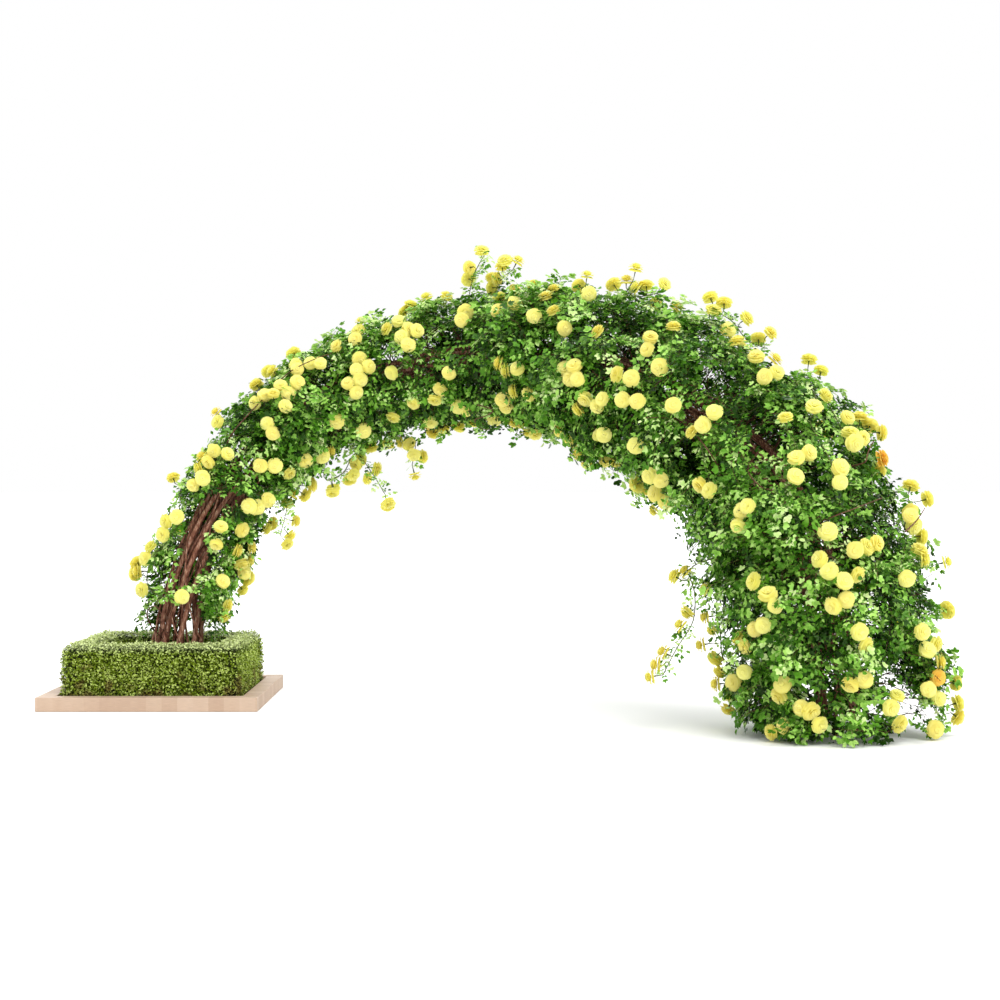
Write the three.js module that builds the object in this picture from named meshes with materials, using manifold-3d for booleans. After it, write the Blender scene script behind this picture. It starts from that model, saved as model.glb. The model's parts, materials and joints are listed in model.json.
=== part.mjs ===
// A climbing rose grown into a free-standing arch out of a square planter with a clipped box hedge.
// Millimetres, +Z up. The origin is the middle of the planter's underside, +X runs along the arch
// from the planter to the far foot, and -Y is the side that the arch is looked at from.
import * as THREE from 'three';
import { mergeVertices } from 'three/addons/utils/BufferGeometryUtils.js';
import Module from 'manifold-3d';

const wasm = await Module();
wasm.setup();
const { Manifold } = wasm;

// Planter: four mitred beech boards round a bed of soil
const KERB_SIDE = 1500;
const KERB_HEIGHT = 95;
const KERB_WIDTH = 112;
const SOIL_TOP = 80;

// Box hedge: four clipped walls on the soil, with the canes in the open square between them
const HEDGE_SIDE = 1240;
const HEDGE_WIDTH = 220;
const HEDGE_TOP = 442;
const HEDGE_STEPS = 8;
const HEDGE_LEAF_OUT = 10;
const HEDGE_LEAF_IN = 12;

// Gap between two pieces that touch, the least gap between pieces that only pass each other, and the
// shortest edge that is kept where parts of a piece are fused
const SEAT = 0.35;
const CLEARANCE = 1.2;
const GROUND_CLEARANCE = 3;
const SMALLEST_EDGE = 0.05;

// Middle line of the arch, from the soil to the far foot: x, y, z and how far the foliage reaches
const ARCH = [
  [80, 0, 20, 300],
  [103, 0, 421, 330],
  [210, 0, 992, 370],
  [416, 50, 1420, 350],
  [720, 200, 1853, 370],
  [1141, 350, 2149, 430],
  [1651, 400, 2335, 455],
  [2241, 200, 2432, 490],
  [2806, -250, 2403, 545],
  [3328, -750, 2202, 615],
  [3808, -1250, 1886, 665],
  [4198, -1650, 1438, 715],
  [4359, -1800, 946, 725],
  [4452, -1800, 453, 725],
  [4482, -1800, 0, 660],
];
const LAST_STATION = ARCH.length - 1;
const FRONT = new THREE.Vector3(-0.35, -0.94, 0);

// Woody canes: they twist round one another from the soil to the far foot
const CANES = 8;
const CANE_SIDES = 4;
const CANE_STEPS = 14;
const CANE_STEP_GROWTH = 1.12;
const CANE_RADIUS_FOOT = 20;
const CANE_RADIUS_END = 13;
const CANE_DEPTH_IN_SOIL = 60;
const CANE_HOLE_CLEARANCE = 1;
const CANE_RINGS = [[0, 155], [1, 148], [1.8, 104], [3.4, 100], [7, 98], [LAST_STATION, 125]];
const CANE_TURN_A_ROOT = 72;

// Leafy boughs: a thin core of massed leaf and twig round the canes, and compound leaves on it
const BOUGH_STATIONS = [1.35, 2.9, 4.4, 5.9, 7.3, 8.7, 10.1, 11.8, 13.92];
const FIRST_BOUGH_TURNS = [[-70, 45], [125, 240]];
const BOUGH_TURNS = [[-90, 90], [90, 270]];
const CORE_BASE = 104;
const CORE_SHARE = 0.33;
const CORE_THICKNESS = 36;
const CORE_RELIEF = 0.1;
const CORE_COLUMNS = 3;
const CORE_STEPS = 2;
const STEM_RADIUS = 8;
const STEM_SINK = 18;
const STEM_MOST = 450;
const LEAF_ROWS = [2, 4];
const LEAF_LENGTH_SHARE = 0.92;
const LEAF_SINK = 20;
const LEAF_FREE_FROM = 45;
const LEAFLET_TIP = 0.3;
const LEAF_RIB = 0.03;
const LEAF_BEND = 0.3;
const LEAF_TILT = [0.32, 0.8];
const LEAF_TRIES = 40;
const LEAF_SEED_STEP = 79;

// The view from the front: where the eye is, and how far off the view lies in which places are given
// across and down, in thousandths of its width. Its middle is straight ahead of the eye.
const EYE = new THREE.Vector3(2386, -13250, 1563);
const VIEW_DISTANCE = 1857;
const VIEW_MIDDLE = [500, 480];
const SIGHT_DEPTHS = [9800, 14200];
const SIGHT_STEP = 20;

// Flowering shoots of the front, top and sides, each from its foot to its tip as a row of trusses:
// the place across and down the view, and the count of blooms
const SHOOTS_SEEN = [
  [[182, 597, 1], [141, 590, 1], [135, 569, 3], [146, 552, 2], [162, 535, 1], [170, 519, 2],
    [173, 477, 1], [197, 481, 2], [202, 462, 3], [220, 450, 2], [217, 422, 1], [216, 412, 1]],
  [[227, 612, 2], [223, 581, 1], [247, 585, 2], [246, 566, 3], [252, 547, 1], [238, 551, 1],
    [216, 545, 1], [221, 526, 1], [243, 530, 1], [271, 527, 2]],
  [[249, 506, 1], [264, 504, 2], [310, 491, 2], [292, 500, 2], [296, 521, 1], [290, 541, 2]],
  [[260, 466, 1], [275, 466, 1], [290, 474, 1], [306, 461, 1], [328, 455, 2], [334, 492, 2],
    [352, 479, 2], [359, 463, 2], [372, 476, 2], [390, 505, 2]],
  [[270, 428, 2], [286, 406, 1], [259, 398, 2], [256, 384, 1], [275, 388, 2], [292, 385, 2],
    [269, 370, 2], [296, 366, 2], [293, 353, 1], [315, 362, 2]],
  [[371, 448, 1], [364, 431, 1], [337, 422, 1], [355, 385, 3], [362, 365, 3], [336, 346, 1],
    [355, 339, 1], [358, 330, 1], [361, 321, 1]],
  [[391, 373, 1], [408, 345, 1], [402, 337, 1], [413, 329, 2], [386, 329, 1], [399, 321, 1],
    [404, 311, 1], [411, 305, 1], [426, 297, 1], [447, 296, 1]],
  [[449, 373, 1], [437, 396, 2], [413, 404, 1], [393, 418, 1], [395, 445, 2], [414, 444, 1],
    [418, 458, 2], [415, 476, 1]],
  [[429, 425, 2], [439, 432, 2], [458, 407, 1], [468, 411, 1], [458, 427, 1], [475, 423, 1],
    [495, 420, 1], [504, 404, 2], [516, 424, 2], [532, 435, 2]],
  [[463, 315, 2], [468, 279, 1], [469, 268, 1], [480, 253, 1], [484, 241, 1]],
  [[497, 310, 1], [499, 297, 1], [515, 303, 1], [515, 289, 1], [491, 288, 1], [493, 277, 2],
    [502, 266, 1], [511, 259, 2]],
  [[534, 316, 1], [534, 285, 1], [545, 296, 1], [553, 310, 1], [560, 326, 1], [553, 289, 1],
    [578, 286, 1], [589, 294, 1], [587, 275, 1]],
  [[498, 363, 1], [505, 371, 1], [517, 368, 1], [513, 391, 1], [528, 395, 1], [569, 371, 3],
    [577, 379, 1], [580, 405, 2], [598, 403, 2], [622, 400, 1], [637, 401, 1], [673, 405, 1]],
  [[559, 430, 1], [571, 442, 2], [580, 455, 2], [588, 465, 1], [600, 435, 2], [610, 463, 2],
    [635, 446, 1], [640, 488, 2], [654, 479, 2], [659, 499, 2], [654, 511, 1]],
  [[631, 378, 1], [616, 374, 1], [597, 331, 1], [648, 342, 2], [659, 367, 1], [673, 326, 1],
    [677, 307, 1], [657, 301, 1], [665, 284, 1], [646, 285, 1], [613, 284, 1], [633, 284, 2], [636, 268, 1]],
  [[771, 373, 2], [775, 359, 1], [756, 356, 1], [737, 341, 1], [728, 329, 1], [715, 314, 1],
    [715, 299, 2], [747, 318, 1], [758, 338, 1], [771, 337, 1]],
  [[714, 412, 1], [696, 428, 2], [703, 488, 2], [739, 519, 2], [749, 506, 1], [796, 476, 1],
    [803, 454, 2], [785, 417, 1]],
  [[841, 474, 2], [814, 406, 1], [826, 395, 1], [809, 359, 1], [821, 370, 1], [848, 417, 1],
    [855, 443, 1], [858, 434, 2], [866, 420, 2], [882, 433, 1]],
  [[828, 531, 1], [862, 548, 2], [883, 546, 1], [824, 565, 2], [852, 578, 2], [840, 603, 2],
    [864, 639, 2], [858, 683, 2], [896, 702, 2], [901, 721, 1]],
  [[911, 485, 1], [928, 499, 1], [912, 513, 2], [920, 531, 2], [907, 579, 1], [924, 547, 2],
    [925, 560, 1], [947, 562, 1]],
  [[753, 581, 1], [771, 600, 2], [758, 628, 2], [740, 643, 2], [780, 691, 2], [801, 708, 1],
    [816, 719, 2], [776, 730, 2]],
  [[685, 571, 1], [674, 576, 1], [687, 613, 1], [680, 625, 1], [663, 652, 1], [656, 665, 1], [650, 677, 1]],
  [[705, 589, 1], [705, 617, 1], [712, 630, 1], [701, 645, 1], [716, 666, 2], [744, 672, 1],
    [733, 683, 1], [716, 684, 1], [730, 695, 1], [728, 710, 1]],
  [[923, 632, 1], [948, 610, 1], [934, 647, 2], [941, 662, 1], [939, 678, 1], [957, 683, 1],
    [929, 690, 1], [940, 699, 1], [959, 703, 1], [959, 718, 1], [936, 730, 1]],
];

// Flowering shoots of the back: the stations between which each runs, and its count of trusses
const SHOOTS_BEHIND = [[1.6, 5.4, 6], [5.6, 9.6, 7], [9.8, 13.5, 7]];
const BEHIND_TURN = [262, 330];
const BLOOMS_BEHIND = 2;

const STAND_OFF_SHARE = 0.93;
const STAND_OFF_CORE = 130;
const SAMPLES_A_STATION = 20;
const SEAT_GRID = [5, 7];
const SEAT_FACING = 0.3;
const SEATS_TRIED = 6;
const SHOOT_RADIUS = 5;
const SHOOT_TAPER = 0.8;
const SHOOT_STEP = 185;
const SHOOT_FOOT = 45;
const SHOOT_OVER_CORE = 26;
const SHOOT_LIFTS = [0, 14, -12, 28, 42, 56, 70];
const SHOOT_OFF_GROUND = 14;
const BLOOM_DIAMETER = 98;
const STALK_LENGTH = 82;
const STALK_LEAST = 52;
const STALK_MOST = 210;
const STALK_RADIUS = 1.4;
const STALK_FREE_FROM = 10;
const STALK_LEAN = 0.35;
const FACE_MARGIN = 0.14;
const BLOOM_SINK = 4.9;
const STALKS_TRIED = 3;
const TRUSS_RADIUS = [0, 0, 46, 54];
const TRUSS_STAGGER = -18;
const OUTER_PETALS = 5;
const INNER_PETALS = 3;
const TRIES = 24;

const SEED = 4113;

const finishes = {
  beech: new THREE.MeshStandardMaterial({ color: 0xd9b79a, roughness: 0.6, metalness: 0 }),
  soil: new THREE.MeshStandardMaterial({ color: 0x3a2a1e, roughness: 1, metalness: 0 }),
  box: new THREE.MeshStandardMaterial({ color: 0x86a030, roughness: 0.75, metalness: 0 }),
  bark: new THREE.MeshStandardMaterial({ color: 0x7a4a34, roughness: 0.8, metalness: 0 }),
  leaf: new THREE.MeshStandardMaterial({ color: 0x2f6a2a, roughness: 0.55, metalness: 0 }),
  petal: new THREE.MeshStandardMaterial({ color: 0xf6e35a, roughness: 0.6, metalness: 0 }),
};

const rose = new THREE.Group();

// The same row of draws every time, so that the plant always grows alike
function drawsFrom(seed) {
  let state = seed;
  return function draw(low, high) {
    state = (state + 0x6d2b79f5) | 0;
    let value = Math.imul(state ^ (state >>> 15), 1 | state);
    value = (value + Math.imul(value ^ (value >>> 7), 61 | value)) ^ value;
    return low + (high - low) * (((value ^ (value >>> 14)) >>> 0) / 4294967296);
  };
}

// Solids and meshes

function solidOf(points, triangles) {
  const vertProperties = Float32Array.from(points.flatMap((point) => [point.x, point.y, point.z]));
  const triVerts = Uint32Array.from(triangles.flat());
  return new Manifold(new wasm.Mesh({ numProp: 3, vertProperties, triVerts }));
}

function solidOfGeometry(geometry) {
  const bare = geometry.clone();
  bare.deleteAttribute('normal');
  bare.deleteAttribute('uv');
  const merged = mergeVertices(bare, 1e-4);
  const vertProperties = Float32Array.from(merged.attributes.position.array);
  const triVerts = Uint32Array.from(merged.index.array);
  return new Manifold(new wasm.Mesh({ numProp: 3, vertProperties, triVerts }));
}

function geometryOf(solid) {
  const { vertProperties, triVerts } = solid.getMesh();
  const geometry = new THREE.BufferGeometry();
  geometry.setAttribute('position', new THREE.BufferAttribute(Float32Array.from(vertProperties), 3));
  geometry.setIndex(new THREE.BufferAttribute(Uint32Array.from(triVerts), 1));
  geometry.computeVertexNormals();
  return geometry;
}

function twoDigits(number) {
  return String(number).padStart(2, '0');
}

function addPiece(name, geometry, finish) {
  const piece = new THREE.Mesh(geometry, finish);
  piece.name = name;
  rose.add(piece);
  return piece;
}

// A skin of triangles: it grows ring by ring, and any of its faces can sprout a new stem or bloom
class Skin {
  points = [];

  faces = [];

  addRing(ring) {
    const start = this.points.length;
    this.points.push(...ring);
    return ring.map((point, i) => start + i);
  }

  // Joins two rings, which may differ in number. The strips at turnedEdges are split along their
  // other diagonals, so that each matches the face that it lies against or that backs it.
  joinRings(low, high, turnedEdges = []) {
    let i = 0;
    let j = 0;
    while (i < low.length || j < high.length) {
      const a = low[i % low.length];
      const b = high[j % high.length];
      const inStep = (i + 1) * high.length <= (j + 1) * low.length;
      const firstAdvances = turnedEdges.includes(i) ? j > i : inStep;
      if (j >= high.length || (i < low.length && firstAdvances)) {
        this.faces.push([a, low[(i + 1) % low.length], b]);
        i += 1;
      } else {
        this.faces.push([a, high[(j + 1) % high.length], b]);
        j += 1;
      }
    }
  }

  // Grows rings on from one that is there already, and closes the last with a flat cap
  growFrom(firstRing, rings, cap = fan(rings[rings.length - 1].length), turnedEdges = []) {
    let low = firstRing;
    for (const ring of rings) {
      const high = this.addRing(ring);
      this.joinRings(low, high, turnedEdges);
      low = high;
    }
    for (const [a, b, c] of cap) this.faces.push([low[a], low[b], low[c]]);
  }

  facePlace(face) {
    const [a, b, c] = face.map((index) => this.points[index]);
    const middle = a.clone().add(b).add(c).divideScalar(3);
    const outward = new THREE.Vector3()
      .crossVectors(new THREE.Vector3().subVectors(b, a), new THREE.Vector3().subVectors(c, a));
    return { middle, outward: outward.normalize() };
  }

  // How large a ring round the middle of a face still lies in the face
  roomOn(face) {
    const [a, b, c] = face.map((index) => this.points[index]);
    const triangle = new THREE.Triangle(a, b, c);
    const longest = Math.max(a.distanceTo(b), b.distanceTo(c), c.distanceTo(a));
    return (2 * triangle.getArea()) / (3 * longest);
  }

  // Opens a face for a small root ring that lies in it, and grows the other rings from that
  sprout(face, root, rings) {
    const { middle, outward } = this.facePlace(face);
    const side = anySide(outward);
    const other = new THREE.Vector3().crossVectors(outward, side);
    const flatten = (point) => {
      const away = point.clone().sub(middle);
      return new THREE.Vector2(away.dot(side), away.dot(other));
    };
    const rootRing = this.addRing(root);
    const corners = [...face, ...rootRing];
    const outline = face.map((index) => flatten(this.points[index]));
    const opening = root.map(flatten);
    const pieces = THREE.ShapeUtils.triangulateShape(outline, [opening]);
    this.faces.splice(this.faces.indexOf(face), 1);
    const flat = [...outline, ...opening];
    for (const [a, b, c] of pieces) {
      const turn = flat[b].clone().sub(flat[a]).cross(flat[c].clone().sub(flat[a]));
      this.faces.push(turn > 0 ? [corners[a], corners[b], corners[c]] : [corners[a], corners[c], corners[b]]);
    }
    this.growFrom(rootRing, rings);
  }

  solid() {
    return solidOf(this.points, this.faces);
  }
}

function skinOver(rings, cap = fan(rings[0].length), turnedEdges = []) {
  const skin = new Skin();
  const first = skin.addRing(rings[0]);
  for (const [a, b, c] of cap) skin.faces.push([first[a], first[c], first[b]]);
  const lastCap = rings[rings.length - 1].length === rings[0].length ? cap : undefined;
  skin.growFrom(first, rings.slice(1), lastCap, turnedEdges);
  return skin;
}

function loft(rings, cap, turnedEdges) {
  return skinOver(rings, cap, turnedEdges).solid();
}

function fan(count) {
  const triangles = [];
  for (let i = 1; i + 1 < count; i += 1) triangles.push([0, i, i + 1]);
  return triangles;
}

function ringAround(middle, along, side, radius, count, spin = 0) {
  const other = new THREE.Vector3().crossVectors(along, side);
  const ring = [];
  for (let i = 0; i < count; i += 1) {
    const angle = spin + (i * 2 * Math.PI) / count;
    ring.push(middle.clone()
      .addScaledVector(side, radius * Math.cos(angle))
      .addScaledVector(other, radius * Math.sin(angle)));
  }
  return ring;
}

function anySide(along) {
  const reference = Math.abs(along.z) < 0.8 ? new THREE.Vector3(0, 0, 1) : new THREE.Vector3(1, 0, 0);
  return reference.cross(along).normalize();
}

// The rings of a stem along a line of points, thinning from one end to the other, without twist
function stemRings(points, firstRadius, lastRadius, sides, upright = false) {
  const last = points.length - 1;
  const rings = [];
  let side = null;
  points.forEach((point, i) => {
    const before = points[Math.max(i - 1, 0)];
    const after = points[Math.min(i + 1, last)];
    const along = new THREE.Vector3().subVectors(after, before).normalize();
    if (upright && (i === 0 || i === last)) along.set(0, 0, Math.sign(along.z));
    side = side ? side.addScaledVector(along, -side.dot(along)).normalize() : anySide(along);
    const radius = THREE.MathUtils.lerp(firstRadius, lastRadius, i / last);
    rings.push(ringAround(point, along, side, radius, sides));
  });
  return rings;
}

// What has grown so far: a new shoot, bloom or leaf is kept only where it clears all of it

const grown = [];

function remember(solid) {
  grown.push({ solid, box: solid.boundingBox() });
  return solid;
}

function boxesApart(a, b, gap) {
  return [0, 1, 2].some((axis) => a.min[axis] - gap > b.max[axis] || b.min[axis] - gap > a.max[axis]);
}

function isClear(solid, carrier) {
  const box = solid.boundingBox();
  if (box.min[2] < GROUND_CLEARANCE) return false;
  return !grown.some((other) => other.solid !== carrier
    && !boxesApart(box, other.box, CLEARANCE)
    && solid.minGap(other.solid, 2 * CLEARANCE) < CLEARANCE);
}

// Planter

function makeKerb() {
  const outer = KERB_SIDE / 2;
  const inner = outer - KERB_WIDTH;
  const mitreGap = SEAT / 2;
  const outline = new THREE.Shape([
    new THREE.Vector2(-outer + mitreGap, -outer),
    new THREE.Vector2(outer - mitreGap, -outer),
    new THREE.Vector2(inner - mitreGap, -inner),
    new THREE.Vector2(-inner + mitreGap, -inner),
  ]);
  ['front', 'right', 'back', 'left'].forEach((side, quarter) => {
    const board = new THREE.ExtrudeGeometry(outline, { depth: KERB_HEIGHT, bevelEnabled: false });
    addPiece(`kerb_${side}`, board, finishes.beech).rotation.z = (quarter * Math.PI) / 2;
  });
}

function makeSoil(caneHoles) {
  const side = KERB_SIDE - 2 * KERB_WIDTH - 2 * SEAT;
  const bed = new THREE.BoxGeometry(side, side, SOIL_TOP);
  bed.translate(0, 0, SOIL_TOP / 2);
  const soil = solidOfGeometry(bed).subtract(Manifold.union(caneHoles));
  addPiece('soil', geometryOf(soil), finishes.soil);
}

// One clipped wall: its faces rise and fall from leaf tip to leaf tip, and its ends are flat
function hedgeWall(length, seed) {
  const draw = drawsFrom(seed);
  const low = SOIL_TOP + SEAT;
  const height = HEDGE_TOP - low;
  const section = [
    [0, 0, 0, 0], [1, 0, 0, 0], [1, 0.36, 1, 0], [1, 0.7, 1, 0], [1, 1, 0.7, 0.7],
    [0.5, 1, 0, 1], [0, 1, -0.7, 0.7], [0, 0.7, -1, 0], [0, 0.36, -1, 0],
  ];
  const rings = [];
  for (let step = 0; step <= HEDGE_STEPS; step += 1) {
    const x = length * (step / HEDGE_STEPS - 0.5);
    rings.push(section.map(([across, up, outX, outZ], corner) => {
      const tip = (step + corner) % 2 ? -draw(0.4, 1) * HEDGE_LEAF_IN : draw(0.4, 1) * HEDGE_LEAF_OUT;
      const rise = Math.min(outZ * tip, HEDGE_LEAF_OUT);
      const y = (across - 0.5) * (HEDGE_WIDTH - 2 * HEDGE_LEAF_OUT) + outX * tip;
      return new THREE.Vector3(x, y, low + up * (height - HEDGE_LEAF_OUT) + rise);
    }));
  }
  return loft(rings);
}

function makeHedge() {
  const middle = (HEDGE_SIDE - HEDGE_WIDTH) / 2;
  const inside = HEDGE_SIDE - 2 * HEDGE_WIDTH - 2 * HEDGE_LEAF_OUT;
  const walls = [
    { side: 'front', length: HEDGE_SIDE, x: 0, y: -middle, turn: 0 },
    { side: 'back', length: HEDGE_SIDE, x: 0, y: middle, turn: 0 },
    { side: 'left', length: inside, x: -middle, y: 0, turn: Math.PI / 2 },
    { side: 'right', length: inside, x: middle, y: 0, turn: Math.PI / 2 },
  ];
  walls.forEach(({ side, length, x, y, turn }, index) => {
    const wall = addPiece(`hedge_${side}`, geometryOf(hedgeWall(length, SEED + index)), finishes.box);
    wall.position.set(x, y, 0);
    wall.rotation.z = turn;
  });
}

// Middle line of the arch, and places round it

const archLine = new THREE.CatmullRomCurve3(
  ARCH.map(([x, y, z]) => new THREE.Vector3(x, y, z)), false, 'catmullrom', 0.5,
);

function reachAt(station) {
  const low = Math.min(Math.floor(station), LAST_STATION - 1);
  return THREE.MathUtils.lerp(ARCH[low][3], ARCH[low + 1][3], station - low);
}

function archFrame(station) {
  const middle = archLine.getPoint(station / LAST_STATION);
  const along = archLine.getTangent(station / LAST_STATION);
  const front = FRONT.clone().addScaledVector(along, -FRONT.dot(along)).normalize();
  const outer = new THREE.Vector3().crossVectors(front, along);
  return { middle, along, front, outer };
}

function outwardAt(frame, degrees) {
  const angle = THREE.MathUtils.degToRad(degrees);
  return frame.outer.clone().multiplyScalar(Math.cos(angle))
    .addScaledVector(frame.front, Math.sin(angle));
}

function placeAt(station, degrees, radius) {
  const frame = archFrame(station);
  return frame.middle.addScaledVector(outwardAt(frame, degrees), radius);
}

// Woody canes

// How far the canes stand from the arch's middle line, read between the rows of CANE_RINGS
function ringOfCanes(station) {
  const next = CANE_RINGS.findIndex(([at]) => at >= station);
  const [to, radiusTo] = CANE_RINGS[Math.max(next, 1)];
  const [from, radiusFrom] = CANE_RINGS[Math.max(next, 1) - 1];
  return THREE.MathUtils.mapLinear(station, from, to, radiusFrom, radiusTo);
}

function canePoints(index) {
  const points = [];
  for (let step = 0; step <= CANE_STEPS; step += 1) {
    const station = LAST_STATION * (step / CANE_STEPS) ** CANE_STEP_GROWTH;
    const turn = (360 * index) / CANES + CANE_TURN_A_ROOT * Math.sqrt(station);
    points.push(placeAt(station, turn, ringOfCanes(station)));
  }
  const first = points[0];
  const soilDepth = SOIL_TOP - CANE_DEPTH_IN_SOIL;
  first.z = soilDepth;
  const last = points[points.length - 1];
  points[points.length - 1] = new THREE.Vector3(last.x, last.y, CANE_RADIUS_END * 4);
  points.push(new THREE.Vector3(last.x, last.y, 0));
  return points;
}

const caneSolids = [];
const caneHoles = [];
for (let index = 0; index < CANES; index += 1) {
  const points = canePoints(index);
  const cane = loft(stemRings(points, CANE_RADIUS_FOOT, CANE_RADIUS_END, CANE_SIDES, true));
  const holePoints = points.slice(0, 3);
  holePoints[0] = holePoints[0].clone().setZ(holePoints[0].z - SEAT);
  const narrowing = (CANE_RADIUS_FOOT - CANE_RADIUS_END) * (2 / (points.length - 1));
  const holeRadius = CANE_RADIUS_FOOT + CANE_HOLE_CLEARANCE;
  caneHoles.push(loft(stemRings(holePoints, holeRadius, holeRadius - narrowing, CANE_SIDES, true)));
  caneSolids.push(remember(cane));
  addPiece(`cane_${index + 1}`, geometryOf(cane), finishes.bark);
}

// Leafy boughs: each is a curved slab of massed leaf and twig, a part of the ring round the canes

function coreRadius(station, degrees) {
  const relief = CORE_RELIEF * Math.sin(station * 5.3) * Math.cos(THREE.MathUtils.degToRad(degrees * 3 + 90));
  return (CORE_BASE + reachAt(station) * CORE_SHARE) * (1 + relief);
}

function coreSolid(fromStation, toStation, fromTurn, toTurn) {
  const rings = [];
  for (let step = 0; step <= CORE_STEPS; step += 1) {
    const station = THREE.MathUtils.lerp(fromStation, toStation, step / CORE_STEPS);
    const frame = archFrame(station);
    const endGap = step === 0 ? SEAT : step === CORE_STEPS ? -SEAT : 0;
    const outside = [];
    const inside = [];
    for (let column = 0; column <= CORE_COLUMNS; column += 1) {
      const degrees = THREE.MathUtils.lerp(fromTurn, toTurn, column / CORE_COLUMNS);
      const outward = outwardAt(frame, degrees);
      const across = new THREE.Vector3().crossVectors(frame.along, outward);
      const sideGap = column === 0 ? SEAT : column === CORE_COLUMNS ? -SEAT : 0;
      const place = (radius) => frame.middle.clone().addScaledVector(outward, radius)
        .addScaledVector(across, sideGap).addScaledVector(frame.along, endGap);
      const radius = coreRadius(station, degrees);
      outside.push(place(radius));
      inside.unshift(place(radius - CORE_THICKNESS));
    }
    rings.push([...inside, ...outside]);
  }
  const cap = [];
  const turnedEdges = [2 * CORE_COLUMNS + 1];
  for (let column = 0; column < CORE_COLUMNS; column += 1) {
    const inner = CORE_COLUMNS - column;
    const outer = CORE_COLUMNS + 1 + column;
    cap.push([inner - 1, inner, outer], [inner - 1, outer, outer + 1]);
    turnedEdges.push(inner - 1);
  }
  return loft(rings, cap, turnedEdges);
}

const boughs = [];
for (let stage = 0; stage + 1 < BOUGH_STATIONS.length; stage += 1) {
  for (const [fromTurn, toTurn] of stage === 0 ? FIRST_BOUGH_TURNS : BOUGH_TURNS) {
    const from = BOUGH_STATIONS[stage];
    const to = BOUGH_STATIONS[stage + 1];
    const core = remember(coreSolid(from, to, fromTurn, toTurn));
    boughs.push({ from, to, fromTurn, toTurn, core, parts: [core] });
  }
}

// Where a straight line first meets a solid, with the face's outward direction there
function firstMeeting(solid, from, to) {
  const [hit] = solid.rayCast(from.toArray(), to.toArray());
  if (!hit) return null;
  return { point: new THREE.Vector3(...hit.position), outward: new THREE.Vector3(...hit.normal) };
}

// A bough is carried by a side stem, which stands flat on the face of the nearest cane
function sideStem(bough) {
  let best = null;
  for (const cane of caneSolids) {
    const { vertProperties, triVerts } = cane.getMesh();
    const corner = (index) => new THREE.Vector3().fromArray(vertProperties, index * 3);
    for (let i = 0; i < triVerts.length; i += 3) {
      const [a, b, c] = [corner(triVerts[i]), corner(triVerts[i + 1]), corner(triVerts[i + 2])];
      const seat = a.clone().add(b).add(c).divideScalar(3);
      const outward = new THREE.Vector3().crossVectors(b.sub(a), c.sub(a)).normalize();
      const foot = seat.addScaledVector(outward, SEAT);
      const end = foot.clone().addScaledVector(outward, STEM_MOST);
      const meeting = firstMeeting(bough.core, foot, end);
      if (!meeting || meeting.outward.dot(outward) > -0.5) continue;
      const length = foot.distanceTo(meeting.point);
      if (length < STEM_RADIUS || (best && length >= best.length)) continue;
      const head = meeting.point.addScaledVector(outward, STEM_SINK);
      const ring = (at) => ringAround(at, outward, anySide(outward), STEM_RADIUS, 3);
      const solid = loft([ring(foot), ring(head)]);
      if (solid.minGap(cane, 1) < SEAT / 2) continue;
      const others = grown.filter((other) => other.solid !== cane && other.solid !== bough.core);
      if (others.some((other) => solid.minGap(other.solid, CLEARANCE) < CLEARANCE / 2)) continue;
      best = { length, solid };
    }
  }
  return best;
}

boughs.forEach((bough) => {
  bough.parts.push(remember(sideStem(bough).solid));
});

// Flowering shoots

const archSamples = [];
for (let step = 0; step <= SAMPLES_A_STATION * LAST_STATION; step += 1) {
  const station = step / SAMPLES_A_STATION;
  archSamples.push({ station, point: archLine.getPoint(station / LAST_STATION) });
}

function nearestOnArch(place) {
  let best = archSamples[0];
  let least = Infinity;
  for (const sample of archSamples) {
    const distance = sample.point.distanceToSquared(place);
    if (distance < least) {
      least = distance;
      best = sample;
    }
  }
  return { station: best.station, point: best.point, distance: Math.sqrt(least) };
}

// Most that a core stands out at a station, whatever the turn
function coreCrest(station) {
  return (CORE_BASE + reachAt(station) * CORE_SHARE) * (1 + CORE_RELIEF);
}

// How far from the arch's middle line the blooms stand
function standOff(station) {
  return Math.max(STAND_OFF_SHARE * reachAt(station), coreCrest(station) + STAND_OFF_CORE);
}

// A truss lies where the line of sight first comes as near to the arch's middle line as blooms stand
// off it, or on a stray shoot, where it passes that line nearest
function trussSeen([across, down, blooms]) {
  const sight = new THREE.Vector3(
    (across - VIEW_MIDDLE[0]) / VIEW_DISTANCE, 1, (VIEW_MIDDLE[1] - down) / VIEW_DISTANCE,
  );
  let best = null;
  for (let depth = SIGHT_DEPTHS[0]; depth <= SIGHT_DEPTHS[1]; depth += SIGHT_STEP) {
    const place = EYE.clone().addScaledVector(sight, depth);
    const near = nearestOnArch(place);
    const share = near.distance / standOff(near.station);
    if (!best || share < best.share) best = { share, place, near };
    if (share <= 1) break;
  }
  const outward = best.place.clone().sub(best.near.point).normalize();
  return { place: best.place, outward, blooms };
}

function trussesBehind([from, to, count], draw) {
  const trusses = [];
  for (let index = 0; index < count; index += 1) {
    const station = THREE.MathUtils.lerp(from, to, index / (count - 1));
    const degrees = THREE.MathUtils.lerp(...BEHIND_TURN, draw(0, 1));
    const outward = outwardAt(archFrame(station), degrees);
    const place = placeAt(station, degrees, standOff(station));
    trusses.push({ place, outward, blooms: BLOOMS_BEHIND });
  }
  return trusses;
}

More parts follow.
